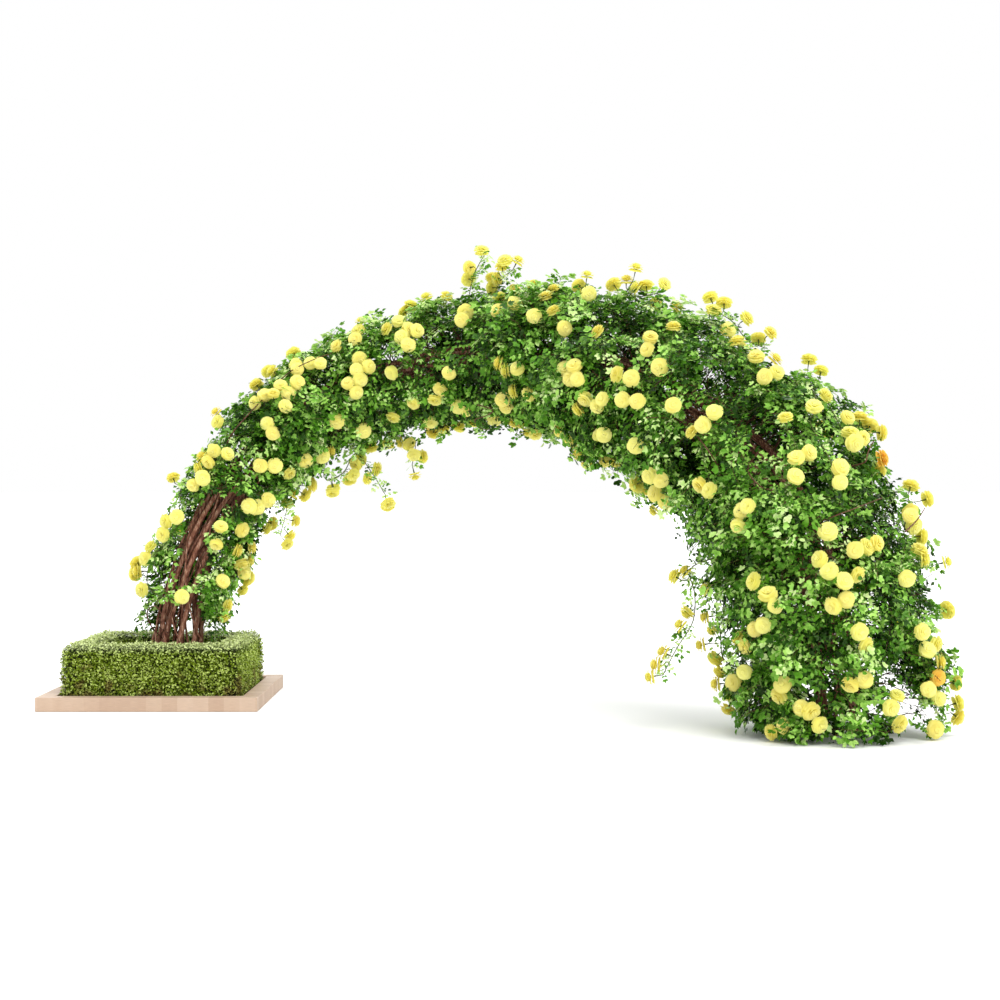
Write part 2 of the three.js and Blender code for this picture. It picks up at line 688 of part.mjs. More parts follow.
// Places on the cores where a shoot can stand
const seats = boughs.flatMap((bough) => {
  const found = [];
  const [rows, columns] = SEAT_GRID;
  for (let row = 0.5; row < rows; row += 1) {
    for (let column = 0.5; column < columns; column += 1) {
      const station = THREE.MathUtils.lerp(bough.from, bough.to, row / rows);
      const degrees = THREE.MathUtils.lerp(bough.fromTurn, bough.toTurn, column / columns);
      const above = placeAt(station, degrees, 1.4 * reachAt(station));
      const meeting = firstMeeting(bough.core, above, placeAt(station, degrees, 0));
      if (meeting) found.push({ ...meeting, core: bough.core });
    }
  }
  return found;
});

// The shoot stands flat on the nearest bough and passes under each truss in turn, clear of the cores
function shootStem(trusses) {
  const route = trusses.map(({ place, outward }) => place.clone().addScaledVector(outward, -STALK_LENGTH));
  const towards = (seat) => route[0].clone().sub(seat.point).normalize().dot(seat.outward);
  const near = seats.filter((seat) => towards(seat) > SEAT_FACING)
    .sort((a, b) => a.point.distanceTo(route[0]) - b.point.distanceTo(route[0]));
  for (const seat of near.slice(0, SEATS_TRIED)) {
    for (const lift of SHOOT_LIFTS) {
      const rise = seat.point.clone().addScaledVector(seat.outward, SHOOT_FOOT);
      const line = new THREE.CatmullRomCurve3([rise, ...route], false, 'centripetal');
      const steps = Math.max(2, Math.round(line.getLength() / SHOOT_STEP));
      const points = line.getSpacedPoints(steps).map((point, index) => {
        const { station, point: middle, distance } = nearestOnArch(point);
        const least = coreCrest(station) + SHOOT_OVER_CORE;
        const outward = point.clone().sub(middle).normalize();
        if (index > 0) point.addScaledVector(outward, lift + Math.max(least - distance, 0));
        return point.setZ(Math.max(point.z, SHOOT_OFF_GROUND));
      });
      points.unshift(seat.point.clone().addScaledVector(seat.outward, SEAT));
      const skin = skinOver(stemRings(points, SHOOT_RADIUS, SHOOT_RADIUS * SHOOT_TAPER, 3));
      const stem = skin.solid();
      if (stem.minGap(seat.core, 1) > SEAT / 2 && isClear(stem, seat.core)) return { skin, seat };
    }
  }
  return null;
}

// A double bloom on its stalk: five outer petals, and three raised inner ones round a flat heart
function bloomRings(root, along, stalk, spin) {
  const side = anySide(along);
  const radius = BLOOM_DIAMETER / 2;
  const at = (distance) => root.clone().addScaledVector(along, distance);
  return [
    ringAround(at(stalk - 0.3 * radius), along, side, 0.14 * radius, 3),
    ringAround(at(stalk + 0.1 * radius), along, side, radius, OUTER_PETALS, spin),
    ringAround(at(stalk + 0.75 * radius), along, side, 0.5 * radius, INNER_PETALS, spin),
  ];
}

// The ring in which a stalk leaves a face, turned so that it starts where the next one does
function rootRing(place, along) {
  const side = anySide(along);
  side.addScaledVector(place.outward, -side.dot(place.outward)).normalize();
  return ringAround(place.middle, place.outward, side, STALK_RADIUS, 3);
}

// Grows a bloom at a place from the nearest face of the stem that looks towards it
function sproutBloom(skin, sites, target, draw) {
  const reaching = sites.map((face) => {
    const place = skin.facePlace(face);
    const direction = target.clone().sub(place.middle);
    const distance = direction.length();
    direction.normalize();
    return { face, place, direction, distance };
  }).filter(({ face, place, direction, distance }) => (
    distance > STALK_LEAST && distance < STALK_MOST && direction.dot(place.outward) > STALK_LEAN
    && skin.roomOn(face) > STALK_RADIUS + FACE_MARGIN
  )).sort((a, b) => a.distance - b.distance);
  for (const { face, place, direction, distance } of reaching.slice(0, STALKS_TRIED)) {
    const rings = bloomRings(place.middle, direction, distance - BLOOM_SINK, draw(0, 2));
    const offStem = place.middle.clone().addScaledVector(direction, STALK_FREE_FROM);
    const head = loft([ringAround(offStem, direction, anySide(direction), STALK_RADIUS, 3), ...rings]);
    if (isClear(head, null)) {
      remember(head);
      sites.splice(sites.indexOf(face), 1);
      skin.sprout(face, rootRing(place, direction), rings);
      return true;
    }
  }
  return false;
}

// The blooms of a truss stand round its middle, one a little behind the other
function sproutTruss(skin, sites, { place, outward, blooms }, draw) {
  const side = anySide(outward);
  const other = new THREE.Vector3().crossVectors(outward, side);
  const spin = draw(0, 2 * Math.PI);
  for (let index = 0; index < blooms; index += 1) {
    for (let attempt = 0; attempt < TRIES; attempt += 1) {
      const angle = spin + (index * 2 * Math.PI) / blooms + draw(-0.1, 0.1) * attempt;
      const away = TRUSS_RADIUS[blooms] + draw(0, 3) * attempt;
      const height = (index % 2) * TRUSS_STAGGER + draw(-3, 3) * attempt;
      const target = place.clone()
        .addScaledVector(side, away * Math.cos(angle))
        .addScaledVector(other, away * Math.sin(angle))
        .addScaledVector(outward, height);
      if (sproutBloom(skin, sites, target, draw)) break;
    }
  }
}

// The foot's end and its first ring of faces, on which no bloom grows
const FOOT_FACES = 7;

const drawBehind = drawsFrom(SEED + 5);
const shoots = [
  ...SHOOTS_SEEN.map((row) => row.map(trussSeen)),
  ...SHOOTS_BEHIND.map((plan) => trussesBehind(plan, drawBehind)),
].map((trusses) => {
  const { skin, seat } = shootStem(trusses);
  seats.splice(seats.indexOf(seat), 1);
  remember(skin.solid());
  return { trusses, skin, sites: skin.faces.slice(FOOT_FACES) };
});

// While they flower, each stem and bloom is kept clear by itself. After that, each whole shoot is.
const grownBeforeBlooms = grown.length;
shoots.forEach(({ trusses, skin, sites }, index) => {
  const draw = drawsFrom(SEED * (index + 1));
  trusses.forEach((truss) => sproutTruss(skin, sites, truss, draw));
});
grown.length = grownBeforeBlooms - shoots.length;
shoots.forEach(({ skin }, index) => {
  const shoot = remember(skin.solid());
  addPiece(`flowering_shoot_${twoDigits(index + 1)}`, geometryOf(shoot), finishes.petal);
});

// Compound leaves

// Three leaflets cut to the rib in one arched blade, raised along the rib
function leafSolid(root, along, up, length, share = 0) {
  const across = new THREE.Vector3().crossVectors(up, along).normalize();
  const station = (distance, halfWidth, rib) => {
    const bend = LEAF_BEND * distance;
    const middle = root.clone()
      .addScaledVector(along, (length * Math.sin(bend)) / LEAF_BEND)
      .addScaledVector(up, (-length * (1 - Math.cos(bend))) / LEAF_BEND);
    const above = up.clone().multiplyScalar(Math.cos(bend)).addScaledVector(along, Math.sin(bend));
    return {
      left: middle.clone().addScaledVector(across, -halfWidth * length),
      right: middle.clone().addScaledVector(across, halfWidth * length),
      rib: middle.clone().addScaledVector(above, rib * length),
    };
  };
  const start = station(share * LEAFLET_TIP, 0.014 + 0.28 * share, LEAF_RIB);
  const tips = station(LEAFLET_TIP, 0.33, 0);
  const notch = station(0.46, 0.035, LEAF_RIB);
  const lastWide = station(0.72, 0.19, 0);
  const end = station(1, 0, 0);
  const points = [
    start.left, start.right, start.rib, tips.left, tips.right, notch.left, notch.right, notch.rib,
    lastWide.left, lastWide.right, end.rib,
  ];
  const triangles = [
    [0, 2, 1],
    [0, 1, 4], [0, 4, 3], [3, 4, 6], [3, 6, 5], [5, 6, 9], [5, 9, 8], [8, 9, 10],
    [2, 0, 3], [2, 3, 7], [7, 3, 5], [7, 5, 8], [7, 8, 10],
    [2, 4, 1], [2, 7, 4], [7, 6, 4], [7, 9, 6], [7, 10, 9],
  ];
  return solidOf(points, triangles);
}

// Leaves are spread over a bough in rows along it and round it, so that none of it stays bare
function addLeaves(bough, draw) {
  const [rows, columns] = LEAF_ROWS;
  const stationStep = (bough.to - bough.from) / rows;
  const turnStep = (bough.toTurn - bough.fromTurn) / columns;
  for (let place = 0; place < rows * columns; place += 1) {
    const low = bough.from + stationStep * (place % rows);
    const fromTurn = bough.fromTurn + turnStep * Math.floor(place / rows);
    for (let attempt = 0; attempt < LEAF_TRIES; attempt += 1) {
      const station = low + stationStep * draw(0.12, 0.88);
      const degrees = fromTurn + turnStep * draw(0.12, 0.88);
      const leaf = leafOn(bough, station, degrees, draw);
      if (leaf) {
        bough.parts.push(remember(leaf));
        break;
      }
    }
  }
}

function leafOn(bough, station, degrees, draw) {
  const reach = reachAt(station);
  const above = placeAt(station, degrees, 1.4 * reach);
  const meeting = firstMeeting(bough.core, above, placeAt(station, degrees, 0));
  if (!meeting) return null;
  const tangent = anySide(meeting.outward);
  const other = new THREE.Vector3().crossVectors(meeting.outward, tangent);
  const turn = draw(0, 2 * Math.PI);
  const tilt = draw(...LEAF_TILT);
  const flat = tangent.multiplyScalar(Math.cos(turn)).addScaledVector(other, Math.sin(turn));
  const along = flat.clone().multiplyScalar(Math.cos(tilt))
    .addScaledVector(meeting.outward, Math.sin(tilt));
  const up = meeting.outward.clone().multiplyScalar(Math.cos(tilt))
    .addScaledVector(flat, -Math.sin(tilt));
  const length = LEAF_LENGTH_SHARE * reach * draw(0.8, 1.1);
  const root = meeting.point.clone().addScaledVector(along, -LEAF_SINK);
  const free = LEAF_FREE_FROM / (LEAFLET_TIP * length);
  const leaf = leafSolid(root, along, up, length);
  const isFree = isClear(leaf, bough.core) && isClear(leafSolid(root, along, up, length, free), null);
  return isFree ? leaf : null;
}

boughs.forEach((bough, index) => {
  addLeaves(bough, drawsFrom(SEED + LEAF_SEED_STEP * (index + 1)));
  const fused = Manifold.union(bough.parts).simplify(SMALLEST_EDGE);
  addPiece(`leafy_bough_${twoDigits(index + 1)}`, geometryOf(fused), finishes.leaf);
});

makeKerb();
makeSoil(caneHoles);
makeHedge();

export default rose;
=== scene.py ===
"""A climbing rose grown into a free-standing arch out of a square planter with a clipped box hedge."""

import json
import math

import bmesh
import bpy
import numpy as np
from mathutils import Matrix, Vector, noise

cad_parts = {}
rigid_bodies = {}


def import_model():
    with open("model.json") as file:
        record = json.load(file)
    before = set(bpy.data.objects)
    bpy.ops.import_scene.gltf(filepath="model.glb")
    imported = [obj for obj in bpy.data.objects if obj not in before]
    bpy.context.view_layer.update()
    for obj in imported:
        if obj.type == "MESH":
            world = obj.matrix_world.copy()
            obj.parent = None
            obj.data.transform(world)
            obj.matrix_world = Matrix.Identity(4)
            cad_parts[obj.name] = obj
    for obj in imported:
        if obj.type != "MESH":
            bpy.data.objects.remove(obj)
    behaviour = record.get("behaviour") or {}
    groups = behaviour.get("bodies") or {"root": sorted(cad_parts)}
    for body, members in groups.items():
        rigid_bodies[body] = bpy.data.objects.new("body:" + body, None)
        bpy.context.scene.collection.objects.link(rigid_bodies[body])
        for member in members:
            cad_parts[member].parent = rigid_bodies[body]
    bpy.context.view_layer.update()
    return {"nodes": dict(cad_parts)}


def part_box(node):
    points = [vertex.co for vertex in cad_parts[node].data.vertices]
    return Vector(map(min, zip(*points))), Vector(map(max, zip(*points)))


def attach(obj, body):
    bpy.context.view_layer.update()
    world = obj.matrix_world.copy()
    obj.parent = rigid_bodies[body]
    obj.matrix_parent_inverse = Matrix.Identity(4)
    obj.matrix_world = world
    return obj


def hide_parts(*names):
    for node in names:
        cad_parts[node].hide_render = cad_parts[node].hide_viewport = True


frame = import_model()

# Camera and studio
# The arch is looked at from its front at eye height, thirteen metres off, on a plain white floor
# that runs out to a white surround, under one broad soft lamp and a weak one from behind.

EYE = (2.386, -13.25, 1.563)
EYE_TILT_DOWN = math.radians(0.617)
SENSOR = 36.0
FOCAL_LENGTH = 1.857 * SENSOR
FLOOR_SIDE = 400.0
FLOOR_DROP = 0.001
FLOOR_WHITE = (0.93, 0.93, 0.93, 1.0)
SURROUND_WHITE = (1.0, 1.0, 1.0, 1.0)

scene = bpy.context.scene
scene.view_settings.view_transform = "Standard"


def link(name, data):
    """Puts an object with this data into the scene."""
    made = bpy.data.objects.new(name, data)
    scene.collection.objects.link(made)
    return made


def mesh_of(name, points, edges=(), faces=()):
    mesh = bpy.data.meshes.new(name)
    mesh.from_pydata(points, edges, faces)
    return mesh


def new_finish(name, roughness, **sockets):
    """A material of one shader, its node tree and the shader."""
    material = bpy.data.materials.new(name)
    material.use_nodes = True
    shader = material.node_tree.nodes["Principled BSDF"]
    shader.inputs["Roughness"].default_value = roughness
    for key, value in sockets.items():
        shader.inputs[key.replace("_", " ")].default_value = value
    return material, material.node_tree, shader


def soft_sun(name, strength, spread, azimuth, elevation):
    """A lamp as broad as a studio softbox; azimuth 0 stands behind the camera, 90 at the right."""
    lamp = bpy.data.lights.new(name, "SUN")
    lamp.energy = strength
    lamp.angle = math.radians(spread)
    turn, rise = math.radians(azimuth), math.radians(elevation)
    towards = Vector((math.sin(turn) * math.cos(rise), -math.cos(turn) * math.cos(rise), math.sin(rise)))
    link(name, lamp).rotation_euler = towards.to_track_quat("Z", "Y").to_euler()


eye = bpy.data.cameras.new("eye")
eye.sensor_width = SENSOR
eye.lens = FOCAL_LENGTH
eye.clip_end = 1000.0
camera = link("eye", eye)
camera.location = EYE
camera.rotation_euler = (math.pi / 2 - EYE_TILT_DOWN, 0.0, 0.0)
scene.camera = camera

soft_sun("key_light", strength=2.3, spread=45.0, azimuth=32.0, elevation=50.0)
soft_sun("back_light", strength=1.1, spread=60.0, azimuth=200.0, elevation=40.0)

surround = bpy.data.worlds.new("white_surround")
surround.use_nodes = True
surround.node_tree.nodes["Background"].inputs["Color"].default_value = SURROUND_WHITE
surround.node_tree.nodes["Background"].inputs["Strength"].default_value = 1.0
scene.world = surround

half = FLOOR_SIDE / 2
floor_corners = [(x, y, -FLOOR_DROP) for x, y in ((-half, -half), (half, -half), (half, half), (-half, half))]
floor_mesh = mesh_of("studio_floor", floor_corners, faces=[(0, 1, 2, 3)])
floor = link("studio_floor", floor_mesh)
floor_finish, _, floor_shader = new_finish("floor_paint", 0.9)
floor_shader.inputs["Base Color"].default_value = FLOOR_WHITE
floor_mesh.materials.append(floor_finish)

# Planter boards
# Four beech boards lie flat on the ground round the bed, mitred at the corners. Each is glued up
# of short staves, so that its tone changes along it, and its edges are eased by hand.

EASED_EDGE = 0.004
STAVE_LENGTH = 0.105
GRAIN_SHIFT = 7.3
BOARD_FACES = ((3, 2, 1, 0), (4, 5, 6, 7), (0, 1, 5, 4), (1, 2, 6, 5), (2, 3, 7, 6), (3, 0, 4, 7))


def node(tree, kind, inputs=None, **settings):
    """Adds a node. The inputs, named or numbered, are filled with values or joined to sockets."""
    made = tree.nodes.new(kind)
    for key, value in settings.items():
        setattr(made, key, value)
    for key, value in (inputs or {}).items():
        socket = made.inputs[key]
        if isinstance(value, bpy.types.NodeSocket):
            tree.links.new(value, socket)
        else:
            socket.default_value = value
    return made


def result(tree, kind, inputs=None, **settings):
    """The first output of a new node."""
    return node(tree, kind, inputs, **settings).outputs[0]


def ramp(tree, factor, *stops):
    """A row of colours, each with its place from 0 to 1."""
    made = node(tree, "ShaderNodeValToRGB", {"Fac": factor})
    made.color_ramp.elements.remove(made.color_ramp.elements[1])
    for index, (place, colour) in enumerate(stops):
        element = made.color_ramp.elements[0] if index == 0 else made.color_ramp.elements.new(place)
        element.position = place
        element.color = (*colour, 1.0)
    return made.outputs["Color"]


def blended(tree, factor, first, second, blend="MIX"):
    made = node(tree, "ShaderNodeMix", {0: factor, 6: first, 7: second}, data_type="RGBA", blend_type=blend)
    return made.outputs[2]


def maths(tree, operation, *values):
    return result(tree, "ShaderNodeMath", dict(enumerate(values)), operation=operation)


def mottle(tree, place, scale, detail, roughness=0.5):
    """Cloudy patches, from 0 to 1."""
    return node(tree, "ShaderNodeTexNoise", {
        "Vector": place, "Scale": scale, "Detail": detail, "Roughness": roughness}).outputs["Fac"]


def stretched(tree, place, scales):
    return result(tree, "ShaderNodeMapping", {0: place, 3: scales})


def roughen(tree, shader, height, strength, depth):
    """Relief that is too fine for the mesh."""
    bump = node(tree, "ShaderNodeBump", {"Strength": strength, "Distance": depth, "Height": height})
    tree.links.new(bump.outputs[0], shader.inputs["Normal"])


def beech_finish():
    material, tree, shader = new_finish("beech_staves", 0.55, Specular_IOR_Level=0.35)
    along = node(tree, "ShaderNodeUVMap", uv_map="board").outputs["UV"]
    distance = result(tree, "ShaderNodeSeparateXYZ", {0: along})
    stave = maths(tree, "FLOOR", maths(tree, "DIVIDE", distance, STAVE_LENGTH))
    tone = node(tree, "ShaderNodeTexWhiteNoise", {"W": stave}, noise_dimensions="1D").outputs["Value"]
    cloud = mottle(tree, stretched(tree, along, (9.0, 2.0, 1.0)), 1.0, 2.0)
    mixed = maths(tree, "ADD", maths(tree, "MULTIPLY", tone, 0.55), maths(tree, "MULTIPLY", cloud, 0.45))
    colour = ramp(tree, mixed, (0.15, (0.45, 0.31, 0.22)), (0.5, (0.50, 0.36, 0.26)),
                  (0.9, (0.55, 0.41, 0.31)))
    grain = mottle(tree, stretched(tree, along, (6.0, 160.0, 1.0)), 3.0, 5.0)
    streak = ramp(tree, grain, (0.35, (0.86, 0.86, 0.86)), (0.65, (1.0, 1.0, 1.0)))
    tree.links.new(blended(tree, 1.0, colour, streak, "MULTIPLY"), shader.inputs["Base Color"])
    roughen(tree, shader, grain, strength=0.25, depth=0.002)
    return material


beech = beech_finish()
board_low, board_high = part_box("kerb_front")
board_width = board_high.y - board_low.y
outer_end, inner_end = board_high.x, board_high.x - board_width
board_plan = [(-outer_end, board_low.y), (outer_end, board_low.y),
              (inner_end, board_high.y), (-inner_end, board_high.y)]
for quarter, side in enumerate(("front", "right", "back", "left")):
    shape = bmesh.new()
    for z in (board_low.z, board_high.z):
        for x, y in board_plan:
            shape.verts.new((x, y, z))
    shape.verts.ensure_lookup_table()
    for corners in BOARD_FACES:
        shape.faces.new([shape.verts[corner] for corner in corners])
    bmesh.ops.bevel(shape, geom=shape.edges[:], offset=EASED_EDGE, segments=3, affect="EDGES", profile=0.6)
    unfolded = shape.loops.layers.uv.new("board")
    for face in shape.faces:
        for loop in face.loops:
            place = loop.vert.co
            loop[unfolded].uv = (place.x + quarter * GRAIN_SHIFT, place.y + place.z)
    for vert in shape.verts:
        for _ in range(quarter):
            vert.co.x, vert.co.y = -vert.co.y, vert.co.x
    board_mesh = bpy.data.meshes.new(f"beech_board_{side}")
    shape.to_mesh(board_mesh)
    shape.free()
    board_mesh.materials.append(beech)
    board = link(f"beech_board_{side}", board_mesh)
    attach(board, "root")
    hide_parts(f"kerb_{side}")

# Soil
# Dark crumbly compost fills the bed to just under the boards' top edge: a raked surface with
# hollows and heaps, and loose crumbs of all sizes lying on it.

SOIL_CELLS = 56
SOIL_HEAPS = 0.014
HEAPS_A_METRE = 9
HIGHEST_HEAP = 0.8
CRUMBS_PER_SQUARE_METRE = 420.0
CRUMB_SIZE = 0.008
SOIL_SEED = 4


def geometry_tree(name, **named_inputs):
    """A geometry tree with its mesh going in and out, and a named input for each size."""
    tree = bpy.data.node_groups.new(name, "GeometryNodeTree")
    tree.interface.new_socket("Geometry", in_out="INPUT", socket_type="NodeSocketGeometry")
    for label, kind in named_inputs.items():
        tree.interface.new_socket(label.replace("_", " "), in_out="INPUT", socket_type="NodeSocket" + kind)
    tree.interface.new_socket("Geometry", in_out="OUTPUT", socket_type="NodeSocketGeometry")
    return tree, node(tree, "NodeGroupInput").outputs


def drawn(tree, low, high, seed, kind="FLOAT"):
    """A random number, or a random vector, for each point."""
    keys = ("Min", "Max") if kind == "FLOAT_VECTOR" else (2, 3)
    made = node(tree, "FunctionNodeRandomValue", {keys[0]: low, keys[1]: high, "Seed": seed}, data_type=kind)
    return made.outputs[0 if kind == "FLOAT_VECTOR" else 1]


def is_more(tree, value, limit):
    return result(tree, "FunctionNodeCompare", {0: value, 1: limit}, operation="GREATER_THAN")


def rise_of(tree, vector):
    return node(tree, "ShaderNodeSeparateXYZ", {0: vector}).outputs[2]


def scattered(tree, sizes, density, least_rise):
    """Random points on the faces that point upwards by some least amount."""
    is_chosen = is_more(tree, rise_of(tree, result(tree, "GeometryNodeInputNormal")), least_rise)
    return node(tree, "GeometryNodeDistributePointsOnFaces", {
        "Mesh": sizes["Geometry"], "Selection": is_chosen, "Density": sizes[density], "Seed": sizes["Seed"]})


def close_tree(tree, geometry, material):
    real = result(tree, "GeometryNodeRealizeInstances", {"Geometry": geometry})
    finished = result(tree, "GeometryNodeSetMaterial", {"Geometry": real, "Material": material})
    tree.links.new(finished, node(tree, "NodeGroupOutput").inputs[0])


def grown(name, start_mesh, tree, **sizes):
    """Runs a geometry tree on a mesh and gives the result as a plain piece."""
    start = link(name + "_start", start_mesh)
    modifier = start.modifiers.new(tree.name, "NODES")
    modifier.node_group = tree
    for item in tree.interface.items_tree:
        key = item.name.replace(" ", "_")
        if item.in_out == "INPUT" and key in sizes:
            modifier[item.identifier] = sizes[key]
    evaluated = start.evaluated_get(bpy.context.evaluated_depsgraph_get())
    mesh = bpy.data.meshes.new_from_object(evaluated)
    mesh.name = name
    start.modifiers.remove(modifier)
    bpy.data.objects.remove(start)
    return link(name, mesh)


def object_place(tree):
    return node(tree, "ShaderNodeTexCoord").outputs["Object"]


def soil_finish():
    material, tree, shader = new_finish("compost", 0.95, Specular_IOR_Level=0.2)
    place = object_place(tree)
    colour = ramp(tree, mottle(tree, place, 60.0, 6.0), (0.3, (0.018, 0.011, 0.007)),
                  (0.55, (0.06, 0.038, 0.024)), (0.75, (0.13, 0.09, 0.06)))
    tree.links.new(colour, shader.inputs["Base Color"])
    roughen(tree, shader, mottle(tree, place, 260.0, 4.0), strength=0.8, depth=0.003)
    return material


def crumbs_tree():
    """Loose crumbs on the bed, which stays as it is."""
    tree, sizes = geometry_tree(
        "loose_crumbs", Crumbs_per_square_metre="Float", Crumb_size="Float", Seed="Int", Finish="Material")
    spread = scattered(tree, sizes, "Crumbs per square metre", least_rise=0.5)
    crumb = result(tree, "GeometryNodeMeshIcoSphere", {"Radius": sizes["Crumb size"], "Subdivisions": 1})
    turn = drawn(tree, (0.0, 0.0, 0.0), (6.28, 6.28, 6.28), 3, "FLOAT_VECTOR")
    crumbs = node(tree, "GeometryNodeInstanceOnPoints", {
        "Points": spread.outputs[0], "Instance": crumb,
        "Scale": drawn(tree, (0.3, 0.3, 0.25), (1.4, 1.4, 1.0), 5, "FLOAT_VECTOR"),
        "Rotation": result(tree, "FunctionNodeEulerToRotation", {0: turn})})
    joined = node(tree, "GeometryNodeJoinGeometry")
    tree.links.new(crumbs.outputs[0], joined.inputs[0])
    tree.links.new(sizes["Geometry"], joined.inputs[0])
    close_tree(tree, joined.outputs[0], sizes["Finish"])
    return tree


soil_low, soil_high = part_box("soil")
bed = bmesh.new()
bmesh.ops.create_grid(bed, x_segments=SOIL_CELLS, y_segments=SOIL_CELLS, size=soil_high.x)
rim = [edge for edge in bed.edges if edge.is_boundary]
for vert in bed.verts:
    heap = noise.fractal(Vector((vert.co.x * HEAPS_A_METRE, vert.co.y * HEAPS_A_METRE, 0.0)), 1.0, 2.0, 4)
    vert.co.z = soil_high.z - SOIL_HEAPS + SOIL_HEAPS * max(-1.0, min(heap, HIGHEST_HEAP))
sunk = bmesh.ops.extrude_edge_only(bed, edges=rim)
for item in sunk["geom"]:
    if isinstance(item, bmesh.types.BMVert):
        item.co.z = soil_low.z
bmesh.ops.contextual_create(bed, geom=[edge for edge in bed.edges if edge.is_boundary])
bmesh.ops.recalc_face_normals(bed, faces=bed.faces[:])
bed_mesh = bpy.data.meshes.new("compost_bed")
bed.to_mesh(bed_mesh)
bed.free()
soil = grown(
    "compost", bed_mesh, crumbs_tree(), Crumbs_per_square_metre=CRUMBS_PER_SQUARE_METRE,
    Crumb_size=CRUMB_SIZE, Seed=SOIL_SEED, Finish=soil_finish())
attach(soil, "root")
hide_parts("soil")

# Box hedge
# Four walls of common box, clipped square: a dark thicket of fine twigs, painted near black as
# painted shade, and round it a shell of small stiff leaves, bright yellow-green outside, painted
# darker further in between the tips as painted shade, and paler on the top as painted highlight.

HEDGE_SHELL = 0.036
HEDGE_LEAVES_PER_SQUARE_METRE = 21500.0
HEDGE_LEAF_LENGTH = 0.021
HEDGE_RELIEF = 0.012
HEDGE_CELL = 0.05
HEDGE_EDGE = 0.042
HEDGE_FOOT = 0.001
HEDGE_SEED = 31
LEAF_GLINT = (0.68, 1.0, 0.42, 1.0)
LIGHT_THROUGH_LEAF = 0.23


def note_on(mesh, name, values, kind="FLOAT"):
    """Keeps a value, or a direction, at each point of a mesh."""
    field = "value" if kind == "FLOAT" else "vector"
    mesh.attributes.new(name, kind, "POINT").data.foreach_set(field, np.array(values, np.float32).ravel())


def shapes_to_repeat(name, outlines):
    """Leaves or blooms of a few faces, kept apart: points, faces and, for a bloom, its depths of yellow."""
    shapes = bpy.data.collections.new(name)
    scene.collection.children.link(shapes)
    for index, (points, faces, *depths) in enumerate(outlines):
        mesh = mesh_of(f"{name}_{index}", points, faces=faces)
        mesh.shade_smooth()
        for depth in depths:
            note_on(mesh, "depth", depth)
        shapes.objects.link(bpy.data.objects.new(f"{name}_{index}", mesh))
    return shapes


def remove_shapes(shapes):
    for shape in list(shapes.objects):
        bpy.data.objects.remove(shape)
    bpy.data.collections.remove(shapes)


def box_leaf(fold, width):
    """A stiff oval leaf one unit long, folded along its rib."""
    return [(0, 0, 0), (-width, 0.55, fold), (0, 1, 0.06), (width, 0.55, fold)], [(0, 2, 1), (0, 3, 2)]


def surface_value(tree, name):
    return node(tree, "ShaderNodeAttribute", attribute_name=name).outputs["Fac"]


def varied(tree, value, scale, amount):
    """A value with small patches above and below it."""
    patches = maths(tree, "SUBTRACT", mottle(tree, object_place(tree), scale, 3.0), 0.5)
    return maths(tree, "ADD", value, maths(tree, "MULTIPLY", patches, amount))


def let_light_through(tree, shader, colour, share):
    """Adds the light that reaches a thin leaf or petal from its other side."""
    through = result(tree, "ShaderNodeBsdfTranslucent", {"Color": colour})
    mixed = result(tree, "ShaderNodeMixShader", {0: share, 1: shader.outputs[0], 2: through})
    tree.links.new(mixed, tree.nodes["Material Output"].inputs["Surface"])


def foliage_finish(name, roughness, gloss, *stops):
    """Leaf colour by each leaf's own shade, with a mottle over it."""
    material, tree, shader = new_finish(name, roughness, Specular_IOR_Level=gloss, Specular_Tint=LEAF_GLINT)
    colour = ramp(tree, varied(tree, surface_value(tree, "shade"), 14.0, 0.5), *stops)
    tree.links.new(colour, shader.inputs["Base Color"])
    let_light_through(tree, shader, colour, LIGHT_THROUGH_LEAF)
    return material


def paint_over(material, colour, factor, start, end, most):
    """Lays a colour over a finish, from none at the start of a factor to the most at its end."""
    tree = material.node_tree
    base_colour = tree.nodes["Principled BSDF"].inputs["Base Color"]
    share = ramp(tree, factor, (start, (0.0, 0.0, 0.0)), (end, (most, most, most)))
    tree.links.new(blended(tree, share, base_colour.links[0].from_socket, (*colour, 1.0)), base_colour)


def paint_highlight_on_tops(material, colour):
    """The wall's top is painted paler: a painted highlight where the light falls on it."""
    tree = material.node_tree
    uneven = maths(tree, "MULTIPLY", surface_value(tree, "shade"), 0.05)
    height = maths(tree, "ADD", rise_of(tree, object_place(tree)), uneven)
    paint_over(material, colour, height, start=0.410, end=0.470, most=0.75)


def wither_low_leaves(material, colour):
    """Dry brown leaves in patches low down, where little light comes."""
    tree = material.node_tree
    place = object_place(tree)
    height = maths(tree, "MULTIPLY", rise_of(tree, place), 0.9)
    dryness = maths(tree, "SUBTRACT", mottle(tree, place, 8.0, 3.0), height)
    paint_over(material, colour, dryness, start=0.38, end=0.48, most=0.75)


def facing(tree, direction, least_stray, most_stray, seed):
    """A rotation that faces a direction, give or take a random stray."""
    stray = drawn(tree, least_stray, most_stray, seed, "FLOAT_VECTOR")
    strayed = result(tree, "ShaderNodeVectorMath", {0: direction, 1: stray}, operation="ADD")
    return result(tree, "FunctionNodeAlignRotationToVector", {"Vector": strayed}, axis="Z")


def turned(tree, rotation, angle):
    """A rotation turned further about its own axis."""
    turn = result(tree, "FunctionNodeAxisAngleToRotation", {"Axis": (0.0, 0.0, 1.0), "Angle": angle})
    return result(tree, "FunctionNodeRotateRotation", {0: rotation, 1: turn}, rotation_space="LOCAL")


def moved_along(tree, geometry, direction, distance):
    shift = result(tree, "ShaderNodeVectorMath", {0: direction, "Scale": distance}, operation="SCALE")
    return result(tree, "GeometryNodeSetPosition", {"Geometry": geometry, "Offset": shift})


